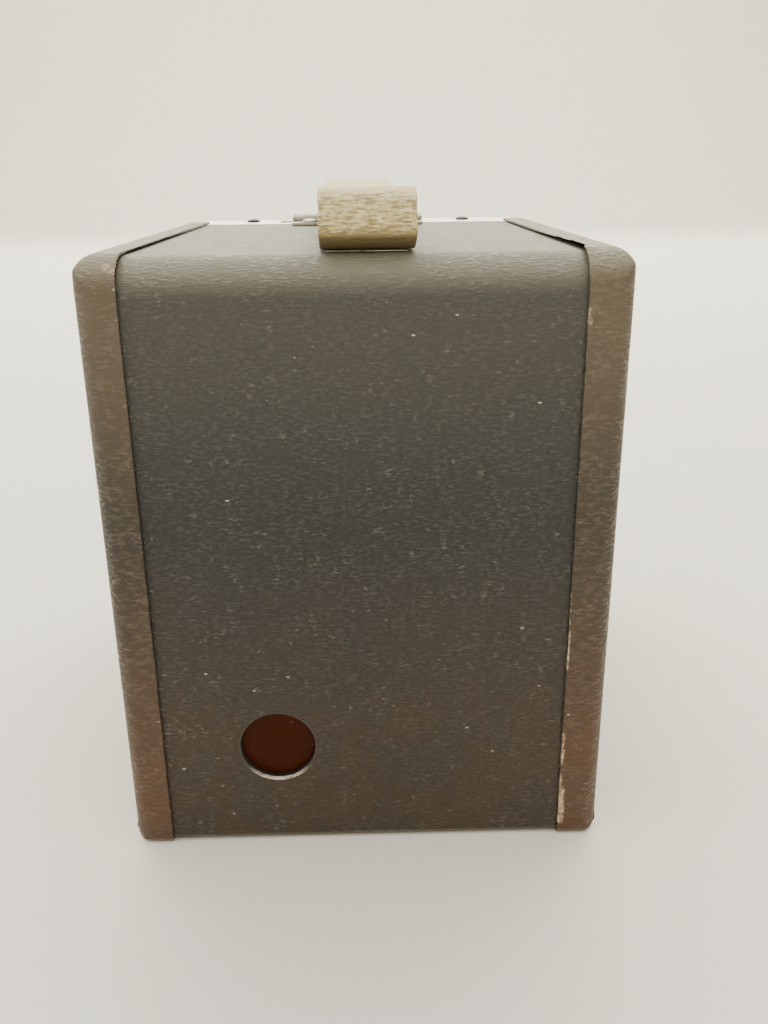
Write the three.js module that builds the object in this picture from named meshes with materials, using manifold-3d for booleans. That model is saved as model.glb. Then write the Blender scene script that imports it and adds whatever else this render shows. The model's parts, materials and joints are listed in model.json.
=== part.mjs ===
// A roll-film box camera for 6 x 9 cm pictures: a leather-covered steel case, and a film carrier
// that slides out of its front with the lens, the shutter, the stops and two reflecting finders.
// Millimetres. X runs across the camera, Y from its rear face to its front plate, Z up.
import * as THREE from "three";
import { mergeVertices } from "three/addons/utils/BufferGeometryUtils.js";
import Module from "manifold-3d";

const wasm = await Module();
wasm.setup();

// ---------------------------------------------------------------- driving dimensions

const WIDTH = 85;
const HEIGHT = 104.8;
const CASE_DEPTH = 95;
const BODY_DEPTH = 119.5;
const MIDDLE = HEIGHT / 2;
const HALF = WIDTH / 2;

// The case, as layers that lie one inside the other, each at its depth below the outermost skin.
const SIDE_RADIUS = 3.2;
const REAR_BOTTOM_RADIUS = 1.6;
const REAR_TOP_RADIUS = { middle: 8, side: 6 };
const LEAST_RADIUS = 0.3;
const LAYER = {
  sideCovering: [0, 0.5],
  centreCovering: [0.6, 1.1],
  sidePanel: [0.6, 1.2],
  wrap: [1.3, 2],
};
const SEAM = { left: 35.6, right: 35 };
const CENTRE_COVERING_HALF = 36;
const PANEL_FROM = 36.2;
const WRAP_HALF = 38;
const CASE_TOP = HEIGHT - LAYER.centreCovering[0];

// The front end of the film carrier.
const FRONT = {
  half: HALF - 0.8,
  bottom: 0.8,
  top: HEIGHT - 0.8,
  radius: 2.6,
  wall: 0.8,
  start: CASE_DEPTH + 0.3,
  end: 117.4,
};
const SPIGOT = { half: 40.6, bottom: 2.5, top: 102.3, radius: 2.2, start: 85 };
const PLATE = [117.7, 118.5];
const FRONT_COVERING = [118.6, 119.1];

// The film path.
const WALL = [33, 33.8];
const GATE = { y: [5.5, 6.3], half: 32.8, bottom: 10.2, openHalf: 28.5, openHeight: 80 };
const SPOOL = { y: 64, z: 89, flange: 11, core: 5, bore: 2.7, half: 32 };
const SUPPLY_Z = HEIGHT - SPOOL.z;
const ROLLER = { y: 8, z: 97.9, radius: 3, half: 32.4, pin: 0.9 };
const BOARD = [100, 101];

// The lens and the shutter.
const APERTURE = 7;
const LENS_RADIUS = 8.6;
const DISC = { x: -14, y: [109.2, 109.7], radius: 21, open: 4.5, turn: 36 };
const LEVER = { x: 26, z: 46, y: [111.2, 112], turn: 12, reach: 21 };
const SLIDE = [116.2, 116.8];
const STOP_TRAVEL = 8;

// The two finders: where each objective looks out, and how wide its glass is.
const TOP_FINDER = { x: -14.5, z: 94.5, half: 6.5 };
const SIDE_FINDER = { x: 31.5, z: 88, half: 6.5 };
const FINDER_DEPTH = [101.2, 113.5];

// The red window, the winding key, the catch and the strap.
const WINDOW = { x: -15.5, z: 20, radius: 6.65 };
const KEY = { shaft: 2.1, tongue: 0.7, knob: 10, from: 44.5, to: 51.5 };
const DOG = { radius: 5, from: 34.1, to: 37.3, floor: 0.5, slot: 0.95 };
const CATCH = { half: 15, pinY: 90.5, pinZ: 105.4, knuckle: 1.1, centre: 5 };
const STUD_Y = 98.5;
const SCREW = { x: 26.5, y: 108, head: 1.7, shank: 1 };
const STRAP = { x: 1.7, half: 7.7, thickness: 1.6, curl: 3.85, low: 105.35 };
const STRAP_STUDS = [
  { name: "strap_stud_rear", y: 19, plate: [8.2, 24.8] },
  { name: "strap_stud_front", y: 73, plate: [67.5, 78.5] },
];

// ---------------------------------------------------------------- solids

// A closed geometry as a solid that can be joined and cut.
function solid(geometry) {
  const bare = geometry.index ? geometry.toNonIndexed() : geometry.clone();
  bare.deleteAttribute("normal");
  bare.deleteAttribute("uv");
  const merged = mergeVertices(bare, 1e-4);
  return new wasm.Manifold(
    new wasm.Mesh({
      numProp: 3,
      vertProperties: merged.attributes.position.array,
      triVerts: new Uint32Array(merged.index.array),
    }),
  );
}

function union(...pieces) {
  return pieces.reduce((whole, piece) => whole.add(piece));
}

function cut(body, ...tools) {
  return tools.reduce((rest, tool) => rest.subtract(tool), body);
}

function block([x0, x1], [y0, y1], [z0, z1]) {
  const geometry = new THREE.BoxGeometry(x1 - x0, y1 - y0, z1 - z0);
  return solid(geometry.translate((x0 + x1) / 2, (y0 + y1) / 2, (z0 + z1) / 2));
}

function rodX(y, z, radius, [x0, x1], sides = 24) {
  const geometry = new THREE.CylinderGeometry(radius, radius, x1 - x0, sides).rotateZ(Math.PI / 2);
  return solid(geometry.translate((x0 + x1) / 2, y, z));
}

function rodY(x, z, radius, [y0, y1], sides = 24) {
  const geometry = new THREE.CylinderGeometry(radius, radius, y1 - y0, sides);
  return solid(geometry.translate(x, (y0 + y1) / 2, z));
}

function rodZ(x, y, radius, [z0, z1], sides = 16) {
  const geometry = new THREE.CylinderGeometry(radius, radius, z1 - z0, sides).rotateX(Math.PI / 2);
  return solid(geometry.translate(x, y, (z0 + z1) / 2));
}

function ringY(x, z, inner, outer, [y0, y1], sides = 32) {
  return cut(rodY(x, z, outer, [y0, y1], sides), rodY(x, z, inner, [y0 - 1, y1 + 1], sides));
}

// An outline drawn in (Y, Z), carried along X.
function alongX(shape, [x0, x1], options = {}) {
  const geometry = new THREE.ExtrudeGeometry(shape, {
    depth: x1 - x0,
    bevelEnabled: false,
    curveSegments: 3,
    ...options,
  });
  const turn = new THREE.Matrix4().makeBasis(
    new THREE.Vector3(0, 1, 0),
    new THREE.Vector3(0, 0, 1),
    new THREE.Vector3(1, 0, 0),
  );
  return solid(geometry.applyMatrix4(turn).translate(x0, 0, 0));
}

// An outline drawn in (X, Z), carried along Y.
function alongY(shape, [y0, y1], curveSegments = 3) {
  const geometry = new THREE.ExtrudeGeometry(shape, {
    depth: y1 - y0,
    bevelEnabled: false,
    curveSegments,
  });
  return solid(geometry.rotateX(Math.PI / 2).translate(0, y1, 0));
}

// An outline drawn in (X, Y), carried along Z.
function alongZ(shape, [z0, z1], curveSegments = 12) {
  const geometry = new THREE.ExtrudeGeometry(shape, {
    depth: z1 - z0,
    bevelEnabled: false,
    curveSegments,
  });
  return solid(geometry.translate(0, 0, z0));
}

function outline(points) {
  return new THREE.Shape(points.map(([a, b]) => new THREE.Vector2(a, b)));
}

function roundedRectangle([a0, a1], [b0, b1], radius) {
  const shape = new THREE.Shape();
  shape.absarc(a1 - radius, b0 + radius, radius, -Math.PI / 2, 0);
  shape.absarc(a1 - radius, b1 - radius, radius, 0, Math.PI / 2);
  shape.absarc(a0 + radius, b1 - radius, radius, Math.PI / 2, Math.PI);
  shape.absarc(a0 + radius, b0 + radius, radius, Math.PI, 1.5 * Math.PI);
  return shape;
}

// The front end's outline, moved in by a distance.
function frontOutline(inset) {
  return roundedRectangle(
    [-FRONT.half + inset, FRONT.half - inset],
    [FRONT.bottom + inset, FRONT.top - inset],
    FRONT.radius - inset,
  );
}

function spigotOutline(inset) {
  return roundedRectangle(
    [-SPIGOT.half + inset, SPIGOT.half - inset],
    [SPIGOT.bottom + inset, SPIGOT.top - inset],
    SPIGOT.radius - inset,
  );
}

// The block that the case's skins are taken from, moved in by a distance. Its rear edges are
// rounded at the top and the base, and all the edges of its sides are rounded too.
function envelope(inset, topRadius) {
  const beyond = CASE_DEPTH + 20;
  const clear = 0.01;
  const [top, base, side] = [topRadius, REAR_BOTTOM_RADIUS, SIDE_RADIUS].map((radius) =>
    Math.max(radius - inset, LEAST_RADIUS),
  );
  const profile = new THREE.Shape();
  profile.moveTo(beyond, inset);
  profile.lineTo(beyond, HEIGHT - inset);
  profile.absarc(inset + top, HEIGHT - inset - top, top, Math.PI / 2, Math.PI);
  profile.absarc(inset + base, inset + base, base, Math.PI, 1.5 * Math.PI);
  const half = HALF - inset;
  const rear = roundedRectangle([-half, half], [inset - clear, HEIGHT - inset + clear], side);
  const plan = roundedRectangle([-half - clear, half + clear], [inset - clear, 2 * beyond], side);
  return alongX(profile, [-HALF - 1, HALF + 1], { curveSegments: 5 })
    .intersect(alongY(rear, [-1, beyond + 1], 4))
    .intersect(alongZ(plan, [-1, HEIGHT + 1], 4));
}

// One layer of the case, between two widths, open at the front.
function layer([outer, inner], [x0, x1], topRadius) {
  const band = block([x0, x1], [-1, CASE_DEPTH], [-1, HEIGHT + 1]);
  return cut(envelope(outer, topRadius).intersect(band), envelope(inner, topRadius));
}

function middleLayer(depths, half) {
  return layer(depths, [-half, half], REAR_TOP_RADIUS.middle);
}

function leftLayer(depths, from) {
  return layer(depths, [-HALF, -from], REAR_TOP_RADIUS.side);
}

function rightLayer(depths, from) {
  return cut(layer(depths, [from, HALF], REAR_TOP_RADIUS.side), bushHole);
}

// ---------------------------------------------------------------- materials and nodes

function material(color, roughness, metalness = 0) {
  return new THREE.MeshStandardMaterial({ color, roughness, metalness });
}

const LEATHER = [0x3f3b36, 0.62];
const BLACK_STEEL = [0x1b1b1c, 0.55, 0.6];
const NICKEL = [0xc9c6bd, 0.28, 1];
const DARK_STEEL = [0x3a3835, 0.45, 1];
const SPRING_STEEL = [0x8d8f90, 0.35, 1];
const GLASS = [0xdfe6e3, 0.05];

const camera = new THREE.Group();
camera.name = "box_camera";

function node(name, body, look) {
  const mesh = body.getMesh();
  const indexed = new THREE.BufferGeometry();
  indexed.setAttribute("position", new THREE.BufferAttribute(mesh.vertProperties, 3));
  indexed.setIndex(new THREE.BufferAttribute(mesh.triVerts, 1));
  const geometry = indexed.toNonIndexed();
  geometry.computeVertexNormals();
  const piece = new THREE.Mesh(geometry, material(...look));
  piece.name = name;
  camera.add(piece);
}

// ---------------------------------------------------------------- case

const windowHole = rodY(WINDOW.x, WINDOW.z, WINDOW.radius, [-1, 3], 32);
const bushHole = rodX(SPOOL.y, SPOOL.z, 4.1, [40, 44]);
const rivetPlaces = [-11, 11];
const rivetHoles = rivetPlaces.map((x) => rodZ(x, 86.3, 1.2, [100, 106]));
const studHoles = STRAP_STUDS.map(({ y }) => rodZ(STRAP.x, y, 1.2, [100, 106]));

const middleHoles = [windowHole, ...rivetHoles, ...studHoles];

node("case_wrap", cut(middleLayer(LAYER.wrap, WRAP_HALF), ...middleHoles), BLACK_STEEL);
node(
  "centre_covering",
  cut(middleLayer(LAYER.centreCovering, CENTRE_COVERING_HALF), ...middleHoles),
  LEATHER,
);
node("left_side_panel", leftLayer(LAYER.sidePanel, PANEL_FROM), BLACK_STEEL);
node("right_side_panel", rightLayer(LAYER.sidePanel, PANEL_FROM), BLACK_STEEL);
node("left_covering", leftLayer(LAYER.sideCovering, SEAM.left), LEATHER);
node("right_covering", rightLayer(LAYER.sideCovering, SEAM.right), LEATHER);

// The red celluloid lies behind the wrap, in a ring that is folded over its edge.
node("red_window", rodY(WINDOW.x, WINDOW.z, 8.4, [2.1, 2.5], 32), [0x3c1b0a, 0.2]);
node(
  "window_ring",
  union(
    ringY(WINDOW.x, WINDOW.z, 8.6, 9.4, [2.1, 3.2]),
    ringY(WINDOW.x, WINDOW.z, 7.2, 9.4, [2.7, 3.2]),
  ),
  DARK_STEEL,
);

// The strap: one flat ribbon of leather, curled back under itself at both ends.
function strapLine() {
  const path = new THREE.CurvePath();
  const at = (y, z) => new THREE.Vector2(y, z);
  const low = STRAP.low;
  const rear = 9.6;
  const high = low + 2 * STRAP.curl;
  path.add(new THREE.LineCurve(at(24.5, low), at(rear, low)));
  path.add(
    new THREE.EllipseCurve(
      rear, low + STRAP.curl, STRAP.curl, STRAP.curl, 1.5 * Math.PI, 0.5 * Math.PI, true,
    ),
  );
  path.add(
    new THREE.SplineCurve([
      at(rear, high), at(34, high - 0.7), at(60, high - 1.15), at(84, high - 1.1),
      at(97, high + 0.2),
      at(101.6, high - 0.3), at(103, high - 2.2), at(101.4, high - 4.1), at(97, high - 4.6),
      at(91, high - 4.9), at(86.5, high - 5.6), at(81.5, high - 6.9), at(76, low + 0.05),
    ]),
  );
  path.add(new THREE.LineCurve(at(76, low + 0.05), at(68.5, low)));
  return path.curves.flatMap((curve, i) => {
    const steps = curve.isLineCurve ? 1 : curve.isEllipseCurve ? 12 : 36;
    const points = curve.getPoints(steps);
    return i ? points.slice(1) : points;
  });
}

function ribbon(line, thickness) {
  const side = (sign) =>
    line.map((point, i) => {
      const before = line[Math.max(i - 1, 0)];
      const after = line[Math.min(i + 1, line.length - 1)];
      const along = after.clone().sub(before).normalize();
      const across = new THREE.Vector2(-along.y, along.x);
      return point.clone().addScaledVector(across, (sign * thickness) / 2);
    });
  return new THREE.Shape([...side(1), ...side(-1).reverse()]);
}

node(
  "strap",
  cut(
    alongX(ribbon(strapLine(), STRAP.thickness), [STRAP.x - STRAP.half, STRAP.x + STRAP.half]),
    ...STRAP_STUDS.map(({ y }) => rodZ(STRAP.x, y, 1.5, [104, 108])),
  ),
  [0xb8aa88, 0.7],
);

// A stud holds each end of the strap down: a flat plate under the leather, a post that is
// riveted over on top of it, and a shank through the top of the case.
STRAP_STUDS.forEach(({ name, y, plate }) =>
  node(
    name,
    union(
      block([STRAP.x - 6.4, STRAP.x + 6.4], plate, [CASE_TOP + 0.05, 104.5]),
      rodZ(STRAP.x, y, 0.95, [102.6, 104.4]),
      rodZ(STRAP.x, y, 1.2, [104.4, 106.6]),
      rodZ(STRAP.x, y, 2.4, [106.25, 106.9], 20),
    ),
    NICKEL,
  ),
);

// ---------------------------------------------------------------- catch

const basePlate = block([-CATCH.half, CATCH.half], [83.5, 89.1], [CASE_TOP + 0.1, 104.9]);
const pinHole = rodX(CATCH.pinY, CATCH.pinZ, 0.65, [-20, 20], 16);

function knuckle([x0, x1], plateEnd) {
  const barrel = rodX(CATCH.pinY, CATCH.pinZ, CATCH.knuckle, [x0, x1], 24);
  const from = Math.min(CATCH.pinY, plateEnd);
  const to = Math.max(CATCH.pinY, plateEnd);
  return union(barrel, block([x0, x1], [from, to], [104.4, 104.95]));
}

node(
  "catch_base",
  cut(union(basePlate, knuckle([-CATCH.centre, CATCH.centre], 88.5)), pinHole, ...rivetHoles),
  SPRING_STEEL,
);
rivetPlaces.forEach((x, i) =>
  node(
    ["catch_rivet_left", "catch_rivet_right"][i],
    union(rodZ(x, 86.3, 0.95, [102.6, 105.2]), rodZ(x, 86.3, 1.8, [105, 105.7])),
    SPRING_STEEL,
  ),
);
node(
  "catch_leaf",
  cut(
    union(
      block([-CATCH.half, CATCH.half], [92, 101.5], [104.4, 104.95]),
      block([-CATCH.half, CATCH.half], [101, 101.5], [104.4, 105.8]),
      knuckle([-CATCH.half, -CATCH.centre - 0.3], 93),
      knuckle([CATCH.centre + 0.3, CATCH.half], 93),
    ),
    pinHole,
    rodZ(0, STUD_Y, 2.2, [104, 106]),
  ),
  SPRING_STEEL,
);
node(
  "catch_hinge_pin",
  rodX(CATCH.pinY, CATCH.pinZ, 0.5, [-CATCH.half - 0.2, CATCH.half + 0.2], 12),
  DARK_STEEL,
);

// ---------------------------------------------------------------- winding key

node(
  "winding_key_bush",
  cut(
    union(
      rodX(SPOOL.y, SPOOL.z, 3.8, [41.1, 43]),
      rodX(SPOOL.y, SPOOL.z, 7, [HALF + 0.1, 43.8], 32),
    ),
    rodX(SPOOL.y, SPOOL.z, 2.4, [40, 45]),
  ),
  NICKEL,
);

// The flat tongue lies along Y at rest, so the carrier's dog can slide off it forwards.
node(
  "winding_shaft",
  union(
    rodX(SPOOL.y, SPOOL.z, KEY.shaft, [38.4, 52]),
    block(
      [34.9, 38.6],
      [SPOOL.y - KEY.shaft + 0.1, SPOOL.y + KEY.shaft - 0.1],
      [SPOOL.z - KEY.tongue, SPOOL.z + KEY.tongue],
    ),
    rodX(SPOOL.y, SPOOL.z, 3, [KEY.to + 0.1, 52.1]),
  ),
  NICKEL,
);
node(
  "winding_shaft_clip",
  cut(
    rodX(SPOOL.y, SPOOL.z, 3.9, [37.5, 38]),
    rodX(SPOOL.y, SPOOL.z, 2.3, [37, 39]),
    block([37, 39], [SPOOL.y - 1.2, SPOOL.y + 1.2], [SPOOL.z - 6, SPOOL.z]),
  ),
  DARK_STEEL,
);

function knobOutline(teeth) {
  const points = [];
  for (let i = 0; i < 2 * teeth; i++) {
    const radius = KEY.knob - (i % 2 ? 0.45 : 0);
    const angle = (i * Math.PI) / teeth;
    points.push([SPOOL.y + radius * Math.cos(angle), SPOOL.z + radius * Math.sin(angle)]);
  }
  return outline(points);
}

const KNOB_BEVEL = 0.6;
node(
  "winding_knob",
  cut(
    union(
      alongX(knobOutline(30), [47 + KNOB_BEVEL, KEY.to - KNOB_BEVEL], {
        bevelEnabled: true,
        bevelThickness: KNOB_BEVEL,
        bevelSize: KNOB_BEVEL,
        bevelOffset: -KNOB_BEVEL,
        bevelSegments: 1,
      }),
      rodX(SPOOL.y, SPOOL.z, 5, [KEY.from, 48]),
    ),
    rodX(SPOOL.y, SPOOL.z, 2.3, [40, 60]),
    rodX(SPOOL.y, SPOOL.z, 8, [KEY.to - 0.5, 60]).subtract(
      rodX(SPOOL.y, SPOOL.z, 4.2, [KEY.to - 0.6, 60]),
    ),
  ),
  NICKEL,
);

// ---------------------------------------------------------------- carrier frame

const screwHoles = [];
for (const x of [-SCREW.x, SCREW.x]) {
  screwHoles.push(rodZ(x, SCREW.y, SCREW.shank + 0.3, [-1, 4]));
  screwHoles.push(rodZ(x, SCREW.y, SCREW.shank + 0.3, [HEIGHT - 4, HEIGHT + 1]));
}

const NOTCH = [SLIDE[0] - 0.4, FRONT.end + 1];
node(
  "front_frame",
  cut(
    union(
      cut(
        alongY(frontOutline(0), [FRONT.start, FRONT.end]),
        alongY(frontOutline(FRONT.wall), [FRONT.start + 1.2, FRONT.end + 1]),
        alongY(spigotOutline(FRONT.wall), [FRONT.start - 1, FRONT.start + 2]),
      ),
      cut(
        alongY(spigotOutline(0), [SPIGOT.start, FRONT.start + 0.4]),
        alongY(spigotOutline(FRONT.wall), [SPIGOT.start - 1, FRONT.start + 2]),
      ),
    ),
    ...screwHoles,
    rodZ(0, STUD_Y, 1.3, [100, 106]),
    block([-3, 3], NOTCH, [100, 106]),
    block([9, 14], NOTCH, [100, 106]),
    block([39, 43], [110.7, 112.5], [LEVER.z - 7, LEVER.z + 7]),
    block([TOP_FINDER.x - 5.2, TOP_FINDER.x + 5.2], [103, 112.5], [100, 106]),
    block([39, 43], [103, 112.5], [SIDE_FINDER.z - 5.2, SIDE_FINDER.z + 5.2]),
  ),
  [0xc9c4b4, 0.3, 1],
);
node(
  "catch_stud",
  union(rodZ(0, STUD_Y, 1, [102.2, 104.3]), rodZ(0, STUD_Y, 1.7, [FRONT.top + 0.1, 105.2])),
  NICKEL,
);

const openings = [
  [TOP_FINDER.x, TOP_FINDER.z, 4.4],
  [SIDE_FINDER.x, SIDE_FINDER.z, 4.4],
  [0, MIDDLE, 8],
];
node(
  "front_plate",
  cut(
    alongY(frontOutline(0), PLATE),
    ...openings.map(([x, z, radius]) => rodY(x, z, radius, [117, 120], 32)),
  ),
  BLACK_STEEL,
);
node(
  "front_covering",
  cut(
    alongY(frontOutline(0.3), FRONT_COVERING),
    ...openings.map(([x, z, radius]) => rodY(x, z, radius + 1.6, [117, 120], 32)),
  ),
  LEATHER,
);
node("shutter_bezel", ringY(0, MIDDLE, 8, 9.3, [FRONT_COVERING[0], BODY_DEPTH]), NICKEL);

// The board across the front end, with a tab under each frame screw.
const tabs = [-SCREW.x, SCREW.x].flatMap((x) => [
  block([x - 3.5, x + 3.5], [BOARD[0], 112], [1.9, 2.7]),
  block([x - 3.5, x + 3.5], [BOARD[0], 112], [HEIGHT - 2.7, HEIGHT - 1.9]),
]);
node(
  "lens_board",
  cut(
    union(alongY(frontOutline(1.1), BOARD), ...tabs),
    rodY(0, MIDDLE, 8, [99, 102], 32),
    ...screwHoles,
  ),
  BLACK_STEEL,
);

function frameScrew(name, x, up) {
  const height = (z) => (up ? HEIGHT - z : z);
  const span = (a, b) => [Math.min(height(a), height(b)), Math.max(height(a), height(b))];
  node(
    name,
    cut(
      union(
        rodZ(x, SCREW.y, SCREW.head, span(0.05, 0.7)),
        rodZ(x, SCREW.y, SCREW.shank, span(0.6, 4.4)),
      ),
      block([x - 2, x + 2], [SCREW.y - 0.25, SCREW.y + 0.25], span(-0.1, 0.35)),
    ),
    DARK_STEEL,
  );
}

frameScrew("frame_screw_top_left", -SCREW.x, true);
frameScrew("frame_screw_top_right", SCREW.x, true);
frameScrew("frame_screw_bottom_left", -SCREW.x, false);
frameScrew("frame_screw_bottom_right", SCREW.x, false);

// ---------------------------------------------------------------- film path

// A frustum with a rectangular mouth at each end, along Y.
function frustum([y0, halfX0, halfZ0], [y1, halfX1, halfZ1]) {
  const geometry = new THREE.BoxGeometry(2, 2, 2);
  const place = geometry.attributes.position;
  for (let i = 0; i < place.count; i++) {
    const rear = place.getY(i) < 0;
    const x = place.getX(i) * (rear ? halfX0 : halfX1);
    const z = MIDDLE + place.getZ(i) * (rear ? halfZ0 : halfZ1);
    place.setXYZ(i, x, rear ? y0 : y1, z);
  }
  return solid(geometry);
}

const CONE_REAR = [6.6, GATE.openHalf + 0.8, GATE.openHeight / 2 + 0.8];
const CONE_FRONT = [99.7, 12.5, 12.5];
node(
  "light_cone",
  cut(
    frustum(CONE_REAR, CONE_FRONT),
    frustum([CONE_REAR[0] - 0.001, GATE.openHalf, GATE.openHeight / 2], [99.701, 11.6, 11.6]),
  ),
  [0x141414, 0.9],
);

const gateHalfHeight = MIDDLE - GATE.bottom;
node(
  "gate_plate",
  cut(
    block(
      [-GATE.half, GATE.half],
      GATE.y,
      [MIDDLE - gateHalfHeight, MIDDLE + gateHalfHeight],
    ),
    block(
      [-GATE.openHalf, GATE.openHalf],
      [0, 10],
      [MIDDLE - GATE.openHeight / 2, MIDDLE + GATE.openHeight / 2],
    ),
  ),
  BLACK_STEEL,
);

const wallHoles = (side) => {
  const reach = [side * WALL[0], side * WALL[1]].sort((a, b) => a - b);
  const through = [reach[0] - 1, reach[1] + 1];
  return [
    rodX(SPOOL.y, SPOOL.z, 2.6, through),
    rodX(SPOOL.y, SUPPLY_Z, 2.6, through),
    rodX(ROLLER.y, ROLLER.z, ROLLER.pin + 0.2, through, 16),
    rodX(ROLLER.y, HEIGHT - ROLLER.z, ROLLER.pin + 0.2, through, 16),
  ];
};
for (const [name, side] of [["left_wall", -1], ["right_wall", 1]]) {
  const reach = [side * WALL[0], side * WALL[1]].sort((a, b) => a - b);
  const sheet = roundedRectangle([4, 99.7], [4.5, HEIGHT - 4.5], 3);
  node(name, cut(alongX(sheet, reach), ...wallHoles(side)), BLACK_STEEL);
}

// A leaf outside a wall, with a stud that enters the end of a spool.
function pivotSpring(name, side, z) {
  const reach = (a, b) => [side * a, side * b].sort((p, q) => p - q);
  const away = z > MIDDLE ? -1 : 1;
  const span = [z - away * 4, z + away * 18].sort((a, b) => a - b);
  node(
    name,
    union(
      block(reach(34, 34.5), [SPOOL.y - 4, SPOOL.y + 4], span),
      rodX(SPOOL.y, z, 2.2, reach(30.3, 34.2)),
    ),
    SPRING_STEEL,
  );
}

pivotSpring("take_up_pivot_spring", -1, SPOOL.z);
pivotSpring("supply_pivot_spring_left", -1, SUPPLY_Z);
pivotSpring("supply_pivot_spring_right", 1, SUPPLY_Z);

node(
  "take_up_spool",
  cut(
    union(
      rodX(SPOOL.y, SPOOL.z, SPOOL.core, [-SPOOL.half, SPOOL.half]),
      rodX(SPOOL.y, SPOOL.z, SPOOL.flange, [-SPOOL.half, 1 - SPOOL.half], 32),
      rodX(SPOOL.y, SPOOL.z, SPOOL.flange, [SPOOL.half - 1, SPOOL.half], 32),
    ),
    rodX(SPOOL.y, SPOOL.z, SPOOL.bore, [-40, 40], 24),
    block([-24, 24], [SPOOL.y - 0.7, SPOOL.y + 0.7], [SPOOL.z, SPOOL.z + 7]),
  ),
  [0x2a2826, 0.5],
);
node(
  "winding_dog",
  union(
    cut(
      rodX(SPOOL.y, SPOOL.z, DOG.radius, [DOG.from, DOG.to]),
      block(
        [DOG.from + DOG.floor, DOG.to + 1],
        [SPOOL.y - 10, SPOOL.y + 10],
        [SPOOL.z - DOG.slot, SPOOL.z + DOG.slot],
      ),
    ),
    rodX(SPOOL.y, SPOOL.z, 2.2, [30.3, DOG.from + 0.2]),
  ),
  SPRING_STEEL,
);

function roller(name, z) {
  node(
    name,
    union(
      rodX(ROLLER.y, z, ROLLER.radius, [-ROLLER.half, ROLLER.half]),
      rodX(ROLLER.y, z, ROLLER.pin, [-WALL[1], WALL[1]], 16),
    ),
    NICKEL,
  );
}

roller("top_roller", ROLLER.z);
roller("bottom_roller", HEIGHT - ROLLER.z);

// ---------------------------------------------------------------- lens and shutter

// A profile of (radius, distance along Y), turned about the lens axis.
function turned(profile, sides = 32) {
  const points = profile.map(([radius, y]) => new THREE.Vector2(radius, y));
  return solid(new THREE.LatheGeometry(points, sides).translate(0, 0, MIDDLE));
}

node(
  "lens_ring",
  cut(
    rodY(0, MIDDLE, 12, [101.1, 107.5], 32),
    rodY(0, MIDDLE, 7.6, [100, 110], 32),
    rodY(0, MIDDLE, LENS_RADIUS + 0.2, [102.2, 110], 32),
  ),
  BLACK_STEEL,
);

// A meniscus: the hollow face looks forwards, towards the stop.
function meniscus() {
  const steps = 4;
  const bowl = (y, sag) =>
    Array.from({ length: steps + 1 }, (_, i) => {
      const radius = (LENS_RADIUS * i) / steps;
      return [radius, y + sag * (radius / LENS_RADIUS) ** 2];
    });
  return turned([...bowl(102.5, 1.1), ...bowl(104.6, 0.5).reverse()]);
}

node("lens", meniscus(), GLASS);
node("lens_retaining_ring", ringY(0, MIDDLE, 7.2, LENS_RADIUS, [105.5, 106.6]), NICKEL);

const shutterLegs = [-34, 28].flatMap((x) =>
  [28, 73].map((z) => block([x, x + 4], [101.1, 108.4], [z, z + 4])),
);
node(
  "shutter_plate",
  cut(
    union(
      block([-36, 34], [108, 108.8], [26, 79]),
      ...shutterLegs,
      rodY(DISC.x, MIDDLE, 1.5, [108.6, 110.6], 20),
      rodY(DISC.x, MIDDLE, 2.8, [110.1, 110.7], 24),
      rodY(LEVER.x, LEVER.z, 1.5, [108.6, 112.6], 20),
      rodY(LEVER.x, LEVER.z, 2.8, [112.4, 113], 24),
    ),
    rodY(0, MIDDLE, APERTURE, [107, 110], 32),
  ),
  BLACK_STEEL,
);

// At rest the opening of the disc is on one side of the aperture, and it ends on the other.
const openAngle = (-DISC.turn * Math.PI) / 180;
const openRadius = -DISC.x;
node(
  "shutter_disc",
  cut(
    rodY(DISC.x, MIDDLE, DISC.radius, DISC.y, 48),
    rodY(DISC.x, MIDDLE, 1.8, [109, 110], 20),
    rodY(
      DISC.x + openRadius * Math.cos(openAngle),
      MIDDLE + openRadius * Math.sin(openAngle),
      DISC.open,
      [109, 110],
    ),
  ),
  [0x222222, 0.7, 0.3],
);

// The lever, drawn level and then turned up to its place at rest.
function leverBody() {
  const arm = outline([
    [-7, -1.6], [0, -3.4], [LEVER.reach - 2, -1.8], [LEVER.reach, -1.2],
    [LEVER.reach, 1.2], [LEVER.reach - 2, 1.8], [0, 3.4], [-7, 1.6],
  ]);
  const body = cut(
    union(alongY(arm, LEVER.y), block([16.6, LEVER.reach], [110.9, 112.3], [-1.2, 1.2])),
    rodY(0, 0, 1.8, [110, 114], 20),
    rodY(-5, 0, 0.6, [110, 114], 12),
  );
  return body.rotate([0, -LEVER.turn, 0]).translate([LEVER.x, 0, LEVER.z]);
}

node("release_lever", leverBody(), DARK_STEEL);

// A wire spring of two and a half turns round the lever's pivot.
function leverSpring() {
  const turns = 2.5;
  const points = [new THREE.Vector3(LEVER.x + 2.5, 109.2, LEVER.z + 9)];
  for (let i = 0; i <= 16 * turns; i++) {
    const angle = (i * Math.PI) / 8;
    points.push(
      new THREE.Vector3(
        LEVER.x + 2.5 * Math.cos(angle),
        109.3 + (1.2 * i) / (16 * turns),
        LEVER.z - 2.5 * Math.sin(angle),
      ),
    );
  }
  points.push(new THREE.Vector3(LEVER.x - 2.5, 110.6, LEVER.z + 9));
  const section = new THREE.Shape().absarc(0, 0, 0.22, 0, 2 * Math.PI);
  return solid(
    new THREE.ExtrudeGeometry(section, {
      steps: 48,
      curveSegments: 3,
      bevelEnabled: false,
      extrudePath: new THREE.CatmullRomCurve3(points),
    }),
  );
}

node("lever_spring", leverSpring(), SPRING_STEEL);

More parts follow.
